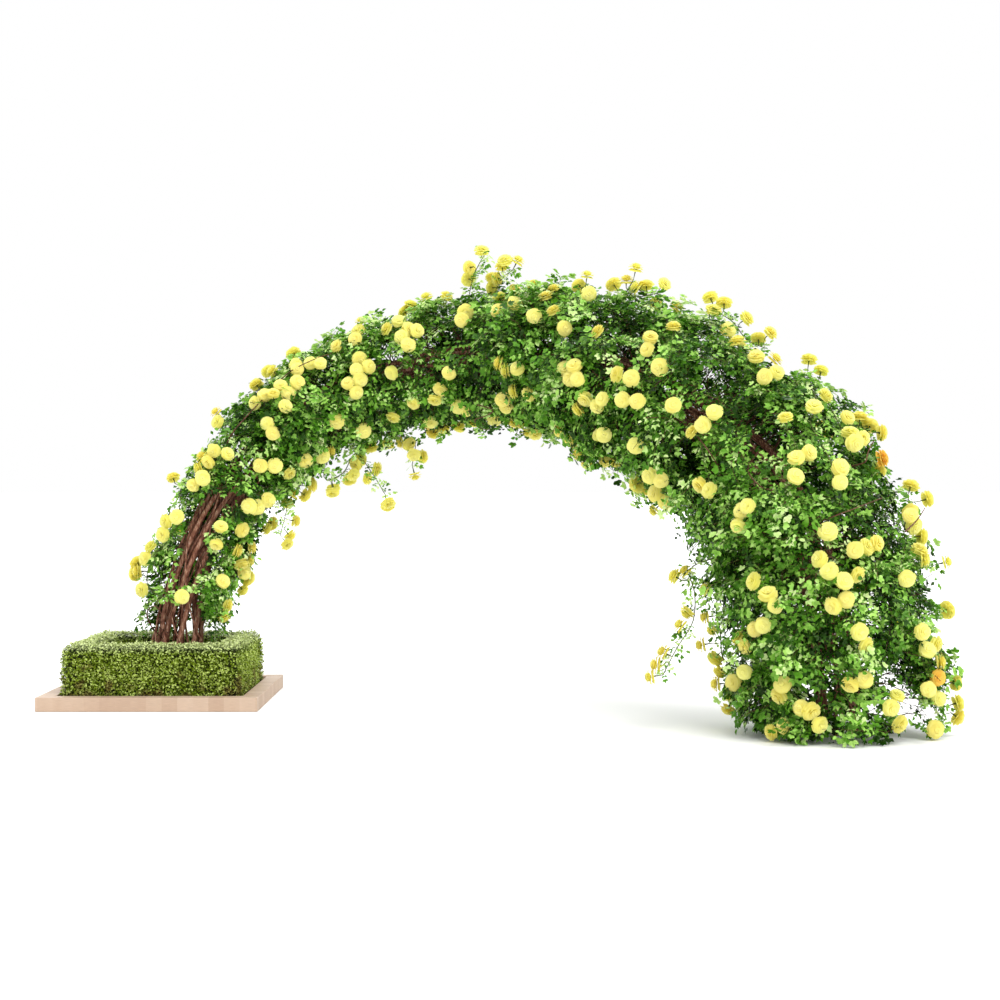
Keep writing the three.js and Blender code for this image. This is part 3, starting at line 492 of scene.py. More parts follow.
def repeat_shapes(tree, sizes, points, rotation, size, shade, shape=None):
    """Ends a tree with a shape at each point, the numbered one or else any. Each keeps its own shade."""
    shapes = result(tree, "GeometryNodeCollectionInfo", {0: sizes["Shapes"], 1: True, 2: True})
    choice = {} if shape is None else {"Instance Index": shape}
    placed = result(tree, "GeometryNodeInstanceOnPoints", {
        "Points": points, "Instance": shapes, "Pick Instance": True, "Rotation": rotation, **choice,
        "Scale": result(tree, "ShaderNodeCombineXYZ", {0: size, 1: size, 2: size})})
    kept = result(tree, "GeometryNodeStoreNamedAttribute", {
        "Geometry": placed, "Name": "shade", "Value": shade}, data_type="FLOAT", domain="INSTANCE")
    close_tree(tree, kept, sizes["Finish"])


def clipped_tree():
    """Leaves all over a wall but its foot, at all depths of its shell, painted darker further in as painted
    shade.
    """
    tree, sizes = geometry_tree(
        "clipped_leaves", Shapes="Collection", Leaves_per_square_metre="Float", Shell="Float",
        Leaf_length="Float", Seed="Int", Finish="Material")
    spread = scattered(tree, sizes, "Leaves per square metre", least_rise=-0.7)
    outward = spread.outputs["Normal"]
    depth = maths(tree, "POWER", drawn(tree, 0.0, 1.0, 11), 0.7)
    placed = moved_along(tree, spread.outputs[0], outward, maths(tree, "MULTIPLY", depth, sizes["Shell"]))
    faced = facing(tree, outward, (-1.1, -1.1, -0.7), (1.1, 1.1, 1.3), 13)
    rotation = turned(tree, faced, drawn(tree, 0.0, 6.28, 17))
    length = maths(tree, "MULTIPLY", sizes["Leaf length"], drawn(tree, 0.7, 1.15, 19))
    # Painted shade: the deeper a leaf sits in the shell, the darker its colour.
    shade = maths(tree, "ADD", maths(tree, "MULTIPLY", depth, 0.55), drawn(tree, 0.0, 0.45, 23))
    repeat_shapes(tree, sizes, placed, rotation, length, shade)
    return tree


def thicket_finish():
    # Twig brown and dark olive, painted near black: partly the twigs' colour, partly painted shade inside the
    # wall.
    material, tree, shader = new_finish("box_thicket", 0.95, Specular_IOR_Level=0.1)
    colour = ramp(tree, mottle(tree, object_place(tree), 55.0, 4.0), (0.35, (0.008, 0.011, 0.003)),
                  (0.6, (0.035, 0.045, 0.010)), (0.8, (0.07, 0.05, 0.02)))
    tree.links.new(colour, shader.inputs["Base Color"])
    return material


def box_thicket(name, low, high):
    """The dark inside of a clipped wall: a closed box with eased edges and an uneven skin."""
    size = high - low
    shape = bmesh.new()
    bmesh.ops.create_cube(shape, size=1.0)
    for vert in shape.verts:
        for axis in range(3):
            vert.co[axis] = low[axis] + size[axis] * (vert.co[axis] + 0.5)
    upper = [edge for edge in shape.edges if max(vert.co.z for vert in edge.verts) > low.z + HEDGE_FOOT]
    bmesh.ops.bevel(shape, geom=upper, offset=HEDGE_EDGE, segments=3, affect="EDGES", profile=0.5)
    for axis in range(3):
        cuts = max(2, round(size[axis] / HEDGE_CELL))
        for cut in range(1, cuts):
            plane_normal = Vector((0.0, 0.0, 0.0))
            plane_normal[axis] = 1.0
            cut_place = low + plane_normal * (size[axis] * cut / cuts)
            bmesh.ops.bisect_plane(shape, geom=shape.verts[:] + shape.edges[:] + shape.faces[:],
                                   plane_co=cut_place, plane_no=plane_normal)
    shape.normal_update()
    for vert in shape.verts:
        if vert.co.z > low.z + HEDGE_FOOT:
            vert.co += vert.normal * HEDGE_RELIEF * noise.fractal(vert.co * 12, 1.0, 2.0, 3)
    mesh = bpy.data.meshes.new(name)
    shape.to_mesh(mesh)
    shape.free()
    return mesh


box_twigs_in_shade = thicket_finish()
box_green = foliage_finish(
    "box_leaf", 0.40, 0.25, (0.10, (0.006, 0.012, 0.001)), (0.36, (0.056, 0.088, 0.002)),
    (0.62, (0.19, 0.27, 0.012)), (0.86, (0.54, 0.66, 0.17)))
# The pale colour laid on the walls' tops is a painted highlight.
paint_highlight_on_tops(box_green, (0.78, 0.86, 0.45))
wither_low_leaves(box_green, (0.15, 0.085, 0.03))
box_shapes = shapes_to_repeat("box_leaf_shapes", [
    box_leaf(0.10, 0.27), box_leaf(0.18, 0.30), box_leaf(-0.08, 0.25)])
clipped = clipped_tree()
for number, side in enumerate(("front", "back", "left", "right")):
    wall_low, wall_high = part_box(f"hedge_{side}")
    inset = Vector((HEDGE_SHELL, HEDGE_SHELL, HEDGE_SHELL))
    core_low, core_high = wall_low + inset, wall_high - inset
    core_low.z = wall_low.z
    if side in ("left", "right"):
        core_low.y -= HEDGE_SHELL
        core_high.y += HEDGE_SHELL
    thicket_mesh = box_thicket(f"box_thicket_{side}", core_low, core_high)
    thicket_mesh.materials.append(box_twigs_in_shade)
    leaves = grown(
        f"box_leaves_{side}", thicket_mesh, clipped, Shapes=box_shapes, Shell=HEDGE_SHELL,
        Leaves_per_square_metre=HEDGE_LEAVES_PER_SQUARE_METRE, Leaf_length=HEDGE_LEAF_LENGTH,
        Seed=HEDGE_SEED + number, Finish=box_green)
    thicket = link(f"box_thicket_{side}", thicket_mesh)
    for piece in (thicket, leaves):
        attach(piece, "root")
        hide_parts(f"hedge_{side}")
remove_shapes(box_shapes)

# Woody canes
# Eight old canes rise from the soil and twist round one another along the whole arch, and younger,
# thinner ones cross them inside and out. The bark is ridged and red-brown in long strips, and its
# palest tan strips are partly painted highlight.

# The arch's middle line from the soil to the far foot, and how far the foliage reaches from it
ARCH = np.array([
    (0.080, 0.000, 0.020, 0.300), (0.103, 0.000, 0.421, 0.330), (0.210, 0.000, 0.992, 0.370),
    (0.416, 0.050, 1.420, 0.350), (0.720, 0.200, 1.853, 0.370), (1.141, 0.350, 2.149, 0.430),
    (1.651, 0.400, 2.335, 0.455), (2.241, 0.200, 2.432, 0.490), (2.806, -0.250, 2.403, 0.545),
    (3.328, -0.750, 2.202, 0.615), (3.808, -1.250, 1.886, 0.665), (4.198, -1.650, 1.438, 0.715),
    (4.359, -1.800, 0.946, 0.725), (4.452, -1.800, 0.453, 0.725), (4.482, -1.800, 0.000, 0.660),
])
LAST_STATION = len(ARCH) - 1
FRONT = np.array((-0.35, -0.94, 0.0))
CANES = 8
CANE_STEPS = 14
CANE_STEP_GROWTH = 1.12
CANE_RADIUS_FOOT = 0.020
CANE_RADIUS_END = 0.013
CANE_RINGS = ((0.0, 0.155), (1.0, 0.148), (1.8, 0.104), (3.4, 0.100), (7.0, 0.098), (LAST_STATION, 0.125))
CANE_TURN_A_ROOT = 72.0
YOUNG_RING_SHARES = ((0.40, 0.75), (1.15, 1.32))
YOUNG_ENDS = (6.5, 13.4)
YOUNG_TWISTS = (-3.0, -1.6, 3.4)
YOUNG_RADII = (0.005, 0.010)
YOUNG_RADIUS_END = 0.004
YOUNG_SEED_STEP = 41
YOUNG_SWAY = 0.13
YOUNG_SWAYS_A_STATION = 2.1
YOUNG_STEPS_A_STATION = 2.2
BARK_RIDGE = 0.0028
BARK_RIDGES_A_METRE = 38.0


def arch_point(station):
    """A point of the arch's middle line: a smooth curve through the rows of ARCH."""
    low = int(min(max(math.floor(station), 0), LAST_STATION - 1))
    share = station - low
    p1, p2 = ARCH[low, :3], ARCH[low + 1, :3]
    p0 = ARCH[low - 1, :3] if low > 0 else 2 * p1 - p2
    p3 = ARCH[low + 2, :3] if low + 2 <= LAST_STATION else 2 * p2 - p1
    t1, t2 = (p2 - p0) / 2, (p3 - p1) / 2
    return (p1 + t1 * share + (3 * (p2 - p1) - 2 * t1 - t2) * share**2 + (2 * (p1 - p2) + t1 + t2) * share**3)


def unit(vector):
    return vector / np.linalg.norm(vector)


def outward_at(station, degrees):
    """The direction away from the arch's middle line: 0 outer side, 90 front, 180 inner, 270 back."""
    step = 0.002
    ahead, behind = min(station + step, LAST_STATION), max(station - step, 0)
    along = unit(arch_point(ahead) - arch_point(behind))
    front = unit(FRONT - along * (FRONT @ along))
    angle = math.radians(degrees)
    return np.cross(front, along) * math.cos(angle) + front * math.sin(angle)


def place_at(station, degrees, radius):
    return arch_point(station) + outward_at(station, degrees) * radius


def cane_ring(station):
    """How far the old canes keep from the arch's middle line."""
    stations, rings = zip(*CANE_RINGS)
    return float(np.interp(station, stations, rings))


def cane_point(station, index, ring_share=1.0, turn_a_root=CANE_TURN_A_ROOT):
    turn = 360.0 * index / CANES + turn_a_root * math.sqrt(station)
    return place_at(station, turn, cane_ring(station) * ring_share)


def path_mesh(name, paths):
    """Open lines with a thickness at each point, all in one mesh: [(points, thicknesses), ...]."""
    points, edges, thicknesses = [], [], []
    for path, thickness in paths:
        first = len(points)
        points.extend(map(tuple, path))
        edges.extend((first + i, first + i + 1) for i in range(len(path) - 1))
        thicknesses.extend(thickness)
    mesh = mesh_of(name, points, edges)
    note_on(mesh, "thickness", thicknesses)
    return mesh


def point_value(tree, name, kind="FLOAT"):
    return result(tree, "GeometryNodeInputNamedAttribute", {"Name": name}, data_type=kind)


def smooth_lines(tree, sizes):
    line = result(tree, "GeometryNodeMeshToCurve", {"Mesh": sizes["Geometry"]})
    return result(tree, "GeometryNodeCurveSplineType", {"Curve": line}, spline_type="CATMULL_ROM")


def stem_tree():
    """A stem along each line, round, tapering, and ridged lengthwise by its bark."""
    tree, sizes = geometry_tree(
        "stem_along_line", Sides="Int", Step="Float", Ridge="Float", Ridge_scale="Float", Finish="Material")
    stepped = result(tree, "GeometryNodeResampleCurve", {
        "Curve": smooth_lines(tree, sizes), "Length": sizes["Step"]}, mode="LENGTH")
    circle = result(tree, "GeometryNodeCurvePrimitiveCircle", {"Resolution": sizes["Sides"], "Radius": 1.0})
    tube = result(tree, "GeometryNodeCurveToMesh", {
        "Curve": stepped, "Profile Curve": circle, "Scale": point_value(tree, "thickness"),
        "Fill Caps": True})
    ridges = node(tree, "ShaderNodeTexNoise", {"Scale": sizes["Ridge scale"], "Detail": 3.0}).outputs["Fac"]
    height = maths(tree, "MULTIPLY", maths(tree, "SUBTRACT", ridges, 0.5), sizes["Ridge"])
    barked = moved_along(tree, tube, result(tree, "GeometryNodeInputNormal"), height)
    shaded = result(tree, "GeometryNodeSetShadeSmooth", {"Geometry": barked})
    close_tree(tree, shaded, sizes["Finish"])
    return tree


def stems(name, paths, sides, step, finish, ridge=0.0):
    """Stems along some lines, all in one piece."""
    return grown(
        name, path_mesh(name + "_lines", paths), stem_along_line, Sides=sides, Step=step, Ridge=ridge,
        Ridge_scale=BARK_RIDGES_A_METRE, Finish=finish)


def bark_finish(name, roughness, *stops):
    """Bark in long strips of uneven colour."""
    material, tree, shader = new_finish(name, roughness, Specular_IOR_Level=0.25)
    strips = mottle(tree, stretched(tree, object_place(tree), (34.0, 34.0, 7.0)), 2.0, 5.0, 0.65)
    tree.links.new(ramp(tree, strips, *stops), shader.inputs["Base Color"])
    roughen(tree, shader, strips, strength=0.7, depth=0.004)
    return material


# The palest tan strips of the bark are partly its own tone and partly painted highlight.
cane_bark = bark_finish(
    "cane_bark", 0.7, (0.30, (0.050, 0.014, 0.008)), (0.46, (0.19, 0.068, 0.040)),
    (0.56, (0.36, 0.165, 0.105)), (0.68, (0.62, 0.42, 0.31)))
stem_along_line = stem_tree()
cane_stations = [LAST_STATION * (step / CANE_STEPS) ** CANE_STEP_GROWTH for step in range(CANE_STEPS + 1)]
for index in range(CANES):
    main = [cane_point(station, index) for station in cane_stations]
    main[0][2] = ARCH[0, 2]
    main[-1][2] = 0.0
    paths = [(main, np.linspace(CANE_RADIUS_FOOT, CANE_RADIUS_END, len(main)))]
    for young, ring_shares in enumerate(YOUNG_RING_SHARES):
        draws = np.random.default_rng(YOUNG_SEED_STEP * index + young)
        end = draws.uniform(*YOUNG_ENDS)
        start = index + draws.uniform(0.3, 0.7)
        turn_a_root = CANE_TURN_A_ROOT * draws.choice(YOUNG_TWISTS)
        share = draws.uniform(*ring_shares)
        points = []
        for station in np.linspace(0.0, end, int(end * YOUNG_STEPS_A_STATION) + 4):
            swayed = share + YOUNG_SWAY * math.sin(YOUNG_SWAYS_A_STATION * station + index + young)
            points.append(cane_point(station, start, swayed, turn_a_root))
        points[0][2] = ARCH[0, 2]
        paths.append((points, np.linspace(draws.uniform(*YOUNG_RADII), YOUNG_RADIUS_END, len(points))))
    cane = stems(f"twisted_cane_{index + 1}", paths, sides=6, step=0.05, finish=cane_bark, ridge=BARK_RIDGE)
    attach(cane, "root")
    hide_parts(f"cane_{index + 1}")

# Leafy twigs
# Side branches grow out of the canes to the edge of the arch and fork into sprigs, which carry small
# compound leaves of glossy leaflets, turned to the light. A few stray twigs have shed their leaves.

BOUGH_STATIONS = (1.35, 2.9, 4.4, 5.9, 7.3, 8.7, 10.1, 11.8, 13.92)
FIRST_BOUGH_TURNS = ((-70, 45), (125, 240))
BOUGH_TURNS = ((-90, 90), (90, 270))
BRANCHES_PER_SQUARE_METRE = 17.5
CROWDING_REACH = 0.725
CREST_SHARE = 0.10
CREST_STATIONS = (2.5, 4.5, 9.0, 11.0)
MEAN_REACH = 0.96
LOBE_DEPTH = 0.09
BRANCH_LEAN = (-0.4, 0.55)
BRANCH_TURN = 22
BRANCH_ENDS_FROM = 0.62
SPRIGS_A_BRANCH = 3
SPRIG_LEAN = (-0.4, 0.45)
SPRIG_TURNS = (12, 34)
SPRIG_ENDS_FROM = 0.5
TWIG_POINTS = 7
BRANCH_RADII = (0.0055, 0.0020)
SPRIG_RADII = (0.0024, 0.0013)
STRAY_RADII = (0.0052, 0.0030)
TWIG_DROOP = 0.08
TWIG_WANDER = 0.012
TWIG_CLEARANCE = 0.06
TIP_CLEARANCE_MORE = 0.05
TWIG_SEED = 900
LEAF_SPACING = 0.0110
LEAF_LENGTH = 0.099
LEAF_TYPES = 4
OUTER_LEAVES_FROM = 0.88
OUTER_LIGHT = 0.42
LEAF_SHADES = (-0.28, 0.34)
BRANCHES_FROM = 1.2
SPRIGS_FROM = 1.15
LEAVES_UNTIL = 13.8
RAGGED_END = 0.2
LEAFY_BEYOND = 0.36
LEAFY_GROWTH = 2.6
YOUNGEST_LEAF = 0.32
GROUND = 0.004
SHOOTS = 27
HEART_SIDE = 0.0424
HEART_RISE = 0.0319
HEART_TOLERANCE = 0.0004
BLOOM_OPENING = 0.055
LEAF_OFF_BLOOM = 0.080
FULL_LEAFLET = (
    (0, 0, 0), (0.28, -0.46, 1), (0.74, -0.42, 0.8), (1, 0, -1), (0.74, 0.42, 0.8), (0.28, 0.46, 1))
SMALL_LEAFLET = ((0, 0, 0), (0.48, -0.44, 1), (1, 0, -1), (0.48, 0.44, 1))
LEAF_HABITS = ((5, 0.10, 0.10), (5, 0.16, 0.22), (5, 0.06, -0.05), (3, 0.12, 0.14))
SIGHT_REACH = (9.8, 14.2)
SIGHT_STEP = 0.02

# The view from the front, across and down in thousandths of its width: its middle, the dark hollows
# between the branches and the gaps right through them with their half widths, the bare front of the
# canes from top to bottom with its half widths, and stray twigs with each point's share of the reach
VIEW_DISTANCE = 1000 * FOCAL_LENGTH / SENSOR
VIEW_MIDDLE = (500.0, 480.0)
HOLLOW_DEPTH = 0.64
HOLLOWS = (
    (430, 365, 15), (466, 350, 12), (545, 342, 15), (690, 416, 17), (755, 462, 19), (815, 615, 18),
    (602, 352, 15), (722, 372, 12), (868, 498, 13), (330, 385, 10), (300, 430, 9), (640, 425, 10),
    (905, 640, 12), (775, 560, 12), (474, 384, 12), (842, 556, 12), (376, 372, 10),
)
GAPS = (
    (904, 708, 24), (884, 680, 12), (934, 745, 24), (740, 748, 24), (718, 712, 14), (801, 684, 9),
    (746, 559, 9), (930, 574, 13), (960, 640, 16), (707, 560, 10), (893, 738, 12), (955, 590, 12),
    (868, 706, 8), (760, 702, 9), (918, 652, 9), (846, 744, 7),
)
GAP_LEAFINESS = 0.1
BARE_CANES = ((484, 232, 8), (514, 207, 19), (552, 192, 21), (581, 187, 18), (645, 182, 29))
STRAY_TWIGS = (
    ((212, 490, 0.5), (222, 478, 0.6), (235, 465, 0.7), (255, 452, 0.7), (275, 448, 0.6)),
    ((222, 455, 0.7), (232, 434, 0.95), (248, 415, 1.0), (268, 394, 1.0), (290, 372, 1.0), (318, 358, 1.0),
     (345, 350, 0.7)),
    ((166, 642, 0.5), (151, 626, 0.8), (147, 612, 0.95), (155, 606, 0.95), (161, 615, 0.9), (157, 625, 0.8),
     (168, 633, 0.6)),
    ((160, 636, 0.7), (165, 626, 0.85), (175, 600, 0.7), (180, 575, 0.4)),
    ((464, 402, 0.7), (478, 405, 0.95), (493, 410, 1.05), (486, 416, 1.1), (475, 420, 1.1), (480, 428, 1.1),
     (490, 430, 1.1)),
    ((852, 466, 0.8), (865, 462, 1.0), (868, 452, 1.05), (874, 440, 1.1)),
    ((905, 532, 0.9), (917, 520, 1.0), (925, 508, 1.06)),
    ((690, 428, 0.6), (700, 440, 0.85), (712, 456, 0.85), (722, 474, 0.6)),
    ((815, 524, 0.7), (832, 517, 0.93), (856, 508, 0.95), (882, 498, 0.8)),
    ((758, 452, 0.5), (748, 470, 0.75), (760, 486, 0.8), (775, 492, 0.6)),
)


def compound_leaf(leaflets, lift, sag, outline):
    """A leaf one unit long in the plane of its stalk: paired leaflets and one at the tip."""
    points, faces = [], []

    def leaflet(root, heading, length, width):
        rib = np.array((math.sin(heading), math.cos(heading), 0.0))
        side = np.array((math.cos(heading), -math.sin(heading), 0.0))
        first = len(points)
        for along, across, curl in outline:
            rise = np.array((0, 0, curl * (lift if curl > 0 else sag) * length))
            points.append(tuple(root + rib * along * length + side * across * width + rise))
        faces.extend((first, first + i + 1, first + i) for i in range(1, len(outline) - 1))

    pairs = leaflets // 2
    for pair in range(pairs):
        along = 0.28 + 0.36 * pair / max(pairs - 1, 1)
        size = 0.31 + 0.05 * pair
        for sign in (-1, 1):
            leaflet(np.array((0.0, along, -sag * along**2)), sign * (1.15 - 0.2 * pair), size, size * 0.7)
    leaflet(np.array((0.0, 0.66, -sag * 0.44)), 0.0, 0.38, 0.26)
    if outline == FULL_LEAFLET:
        first = len(points)
        points.extend([(-0.012, 0.0, 0.0), (0.012, 0.0, 0.0), (0.0, 0.7, -sag * 0.49)])
        faces.append((first, first + 1, first + 2))
    return points, faces


def leafing_tree():
    """Compound leaves along each twig, left and right by turns, clear of the blooms' faces."""
    tree, sizes = geometry_tree(
        "leaves_along_twigs", Shapes="Collection", Blooms="Object", Off_bloom="Float", Spacing="Float",
        Leaf_length="Float", Finish="Material")
    on_twig = node(tree, "GeometryNodeCurveToPoints", {
        "Curve": smooth_lines(tree, sizes), "Length": sizes["Spacing"]}, mode="LENGTH")
    is_bare = is_more(tree, drawn(tree, 0.0, 1.0, 3), point_value(tree, "leafiness"))
    blooms = node(tree, "GeometryNodeObjectInfo", {0: sizes["Blooms"]}).outputs["Geometry"]
    distance = node(tree, "GeometryNodeProximity", {0: blooms}, target_element="POINTS").outputs["Distance"]
    is_over_bloom = is_more(tree, sizes["Off bloom"], distance)
    unwanted = result(tree, "FunctionNodeBooleanMath", {0: is_bare, 1: is_over_bloom}, operation="OR")
    leafy = result(tree, "GeometryNodeDeleteGeometry", {
        "Geometry": on_twig.outputs[0], "Selection": unwanted})
    outward = point_value(tree, "outward", "FLOAT_VECTOR")
    faced = facing(tree, outward, (-0.8, -0.8, -0.5), (0.8, 0.8, 0.85), 5)
    headed = result(tree, "FunctionNodeAlignRotationToVector", {
        "Rotation": faced, "Vector": on_twig.outputs["Tangent"]}, axis="Y", pivot_axis="Z")
    by_turns = maths(tree, "MODULO", result(tree, "GeometryNodeInputIndex"), 2.0)
    sign = maths(tree, "SUBTRACT", maths(tree, "MULTIPLY", by_turns, 2.0), 1.0)
    rotation = turned(tree, headed, maths(tree, "MULTIPLY", sign, drawn(tree, 0.25, 1.9, 7)))
    length = maths(tree, "MULTIPLY", sizes["Leaf length"], drawn(tree, 0.7, 1.2, 9))
    outerness = point_value(tree, "outerness")
    is_inner = maths(tree, "LESS_THAN", outerness, OUTER_LEAVES_FROM)
    leaf_type = maths(tree, "FLOOR", drawn(tree, 0.0, LEAF_TYPES - 0.01, 11))
    shape = maths(tree, "ADD", maths(tree, "MULTIPLY", is_inner, float(LEAF_TYPES)), leaf_type)
    outer_light = maths(tree, "MULTIPLY", maths(tree, "POWER", outerness, 2.0), OUTER_LIGHT)
    lit = maths(tree, "ADD", point_value(tree, "youth"), outer_light)
    shade = maths(tree, "ADD", lit, drawn(tree, *LEAF_SHADES, 15))
    repeat_shapes(tree, sizes, leafy, rotation, length, shade, shape)
    return tree


def reach_at(station):
    return float(np.interp(station, range(LAST_STATION + 1), ARCH[:, 3]))


def arch_length(from_station, to_station):
    points = np.array([arch_point(station) for station in np.linspace(from_station, to_station, 12)])
    return float(np.linalg.norm(np.diff(points, axis=0), axis=1).sum())


def seen_at(point):
    """Where a point is seen from the front."""
    depth = point[1] - EYE[1]
    return (VIEW_MIDDLE[0] + (point[0] - EYE[0]) * VIEW_DISTANCE / depth,
            VIEW_MIDDLE[1] - (point[2] - EYE[2]) * VIEW_DISTANCE / depth)


arch_stations = np.arange(0.0, LAST_STATION + 0.001, 0.05)
arch_points = np.array([arch_point(station) for station in arch_stations])
arch_reaches = np.array([reach_at(station) for station in arch_stations])


def place_seen(across, down, share):
    """Where a line of sight first comes within a share of the arch's reach, or else is nearest to it."""
    sight = np.array((
        (across - VIEW_MIDDLE[0]) / VIEW_DISTANCE, 1.0, (VIEW_MIDDLE[1] - down) / VIEW_DISTANCE))
    places = np.array(EYE) + sight * np.arange(*SIGHT_REACH, SIGHT_STEP)[:, None]
    shares = np.linalg.norm(places[:, None] - arch_points[None], axis=2) / arch_reaches
    nearest = shares.min(axis=1)
    inside = np.flatnonzero(nearest <= share)
    row = inside[0] if len(inside) else nearest.argmin()
    return places[row]


def is_seen_in(circles, point):
    across, down = seen_at(point)
    return any(math.hypot(across - x, down - y) < half_width for x, y, half_width in circles)


def hides_canes(point):
    across, down = seen_at(point)
    downs, middles, halves = zip(*BARE_CANES)
    return (point[1] < 0.0 and downs[0] < down < downs[-1]
            and abs(across - np.interp(down, downs, middles)) < np.interp(down, downs, halves))


def lobed_reach(station, degrees):
    """How far the leaves reach: lobes and hollows break the edge of the arch."""
    lobe = math.sin(4.1 * station + 1.3) * math.cos(math.radians(2 * degrees + 40 * station))
    lobe += 0.7 * math.sin(9.7 * station + math.radians(3 * degrees))
    crest = CREST_SHARE * max(math.cos(math.radians(degrees)), 0.0)
    crest *= float(np.interp(station, CREST_STATIONS, (0, 1, 1, 0)))
    return reach_at(station) * (MEAN_REACH + LOBE_DEPTH * lobe + crest)


def twig_line(start, end, draws, root=None):
    """A twig between two places, each a station, a turn and a radius. It knows the light's direction."""
    points, outwards, outerness = [], [], []
    for step in range(TWIG_POINTS):
        share = step / (TWIG_POINTS - 1)
        station = start[0] + (end[0] - start[0]) * share**1.3
        degrees = start[1] + (end[1] - start[1]) * share
        radius = start[2] + (end[2] - start[2]) * share**0.85
        outward = outward_at(station, degrees)
        reach = reach_at(station)
        point = arch_point(station) + outward * radius
        if step > 0:
            point = point + draws.normal(0.0, TWIG_WANDER, 3)
            lowest = TWIG_CLEARANCE + TIP_CLEARANCE_MORE * share
            point[2] = max(point[2] - TWIG_DROOP * reach * share**2.5, lowest)
        if root is not None:
            shift = root - point if step == 0 else shift
            point = point + shift * (1 - share)
        points.append(point)
        outwards.append(unit(outward + np.array((0.0, 0.0, 0.45))))
        outerness.append(radius / reach)
    return points, outwards, outerness


def far_end(station, degrees, draws, nearest):
    """Where a twig ends, which is further in where it would hide a hollow."""
    radius = lobed_reach(station, degrees) * draws.uniform(nearest, 1.0) ** 0.6
    place = place_at(station, degrees, radius)
    if place[1] <= arch_point(station)[1] and is_seen_in(HOLLOWS, place):
        radius *= HOLLOW_DEPTH
    return station, degrees, radius


def side_branch(from_station, to_station, from_turn, to_turn, draws):
    """A branch from a cane, and the sprigs that fork from it."""
    station = draws.uniform(from_station, to_station)
    degrees = draws.uniform(from_turn, to_turn)
    twist = CANE_TURN_A_ROOT * math.sqrt(station)
    cane = round((degrees - twist) * CANES / 360)
    start = (station, 360 * cane / CANES + twist, cane_ring(station))
    leaning = max(station + draws.uniform(*BRANCH_LEAN), BRANCHES_FROM)
    end_station = min(leaning, LEAVES_UNTIL - RAGGED_END * draws.random())
    end_turn = degrees + draws.uniform(-BRANCH_TURN, BRANCH_TURN)
    end = far_end(end_station, end_turn, draws, BRANCH_ENDS_FROM)
    branch = twig_line(start, end, draws)
    twigs = [(branch, BRANCH_RADII)]
    for _ in range(SPRIGS_A_BRANCH):
        fork = int(draws.integers(2, TWIG_POINTS - 1))
        share = fork / (TWIG_POINTS - 1)
        at = [start[i] + (end[i] - start[i]) * share for i in range(3)]
        away = draws.choice((-1, 1)) * draws.uniform(*SPRIG_TURNS)
        tip_station = min(max(at[0] + draws.uniform(*SPRIG_LEAN), SPRIGS_FROM), LEAVES_UNTIL)
        tip = far_end(tip_station, at[1] + away, draws, SPRIG_ENDS_FROM)
        twigs.append((twig_line(at, tip, draws, branch[0][fork]), SPRIG_RADII))
    return twigs


def leaves_on(name, twigs, off_bloom, spacing, length):
    """Leaves on lines that know the light, their leafiness and their age. No tip dips below the ground."""
    lines = path_mesh(name + "_lines", [(twig["points"], [0.0] * len(twig["points"])) for twig in twigs])
    note_on(lines, "outward", [outward for twig in twigs for outward in twig["outwards"]], "FLOAT_VECTOR")
    for key in ("leafiness", "youth", "outerness"):
        note_on(lines, key, [value for twig in twigs for value in twig[key]])
    leaves = grown(
        name, lines, leaves_along_twigs, Shapes=rose_shapes, Blooms=openings, Off_bloom=off_bloom,
        Spacing=spacing, Leaf_length=length, Finish=rose_green)
    places = np.zeros((len(leaves.data.vertices), 3), np.float32)
    leaves.data.vertices.foreach_get("co", places.ravel())
    places[:, 2] = np.maximum(places[:, 2], GROUND)
    leaves.data.vertices.foreach_set("co", places.ravel())
    leaves.data.update()
    return leaves


def solid_of(node_name):
    """The corners and the triangles of a node."""
    mesh = frame["nodes"][node_name].data
    mesh.calc_loop_triangles()
    places = np.array([vert.co for vert in mesh.vertices])
    return places, [list(face.vertices) for face in mesh.loop_triangles]


def blooms_of(node_name):
    """The middle and the axis of each bloom of a shoot, found by its flat three-cornered heart."""
    places, triangles = solid_of(node_name)
    found = []
    for triangle in triangles:
        a, b, c = places[triangle]
        sides = [np.linalg.norm(b - a), np.linalg.norm(c - b), np.linalg.norm(a - c)]
        if max(abs(side - HEART_SIDE) for side in sides) < HEART_TOLERANCE:
            axis = unit(np.cross(b - a, c - a))
            found.append(((a + b + c) / 3 - axis * HEART_RISE, axis))
    return found


shoots = [{"node": f"flowering_shoot_{number:02d}"} for number in range(1, SHOOTS + 1)]
for shoot in shoots:
    shoot["blooms"] = blooms_of(shoot["node"])
bloom_faces = [tuple(place + axis * BLOOM_OPENING) for shoot in shoots for place, axis in shoot["blooms"]]
openings = link("bloom_openings", mesh_of("bloom_openings", bloom_faces))

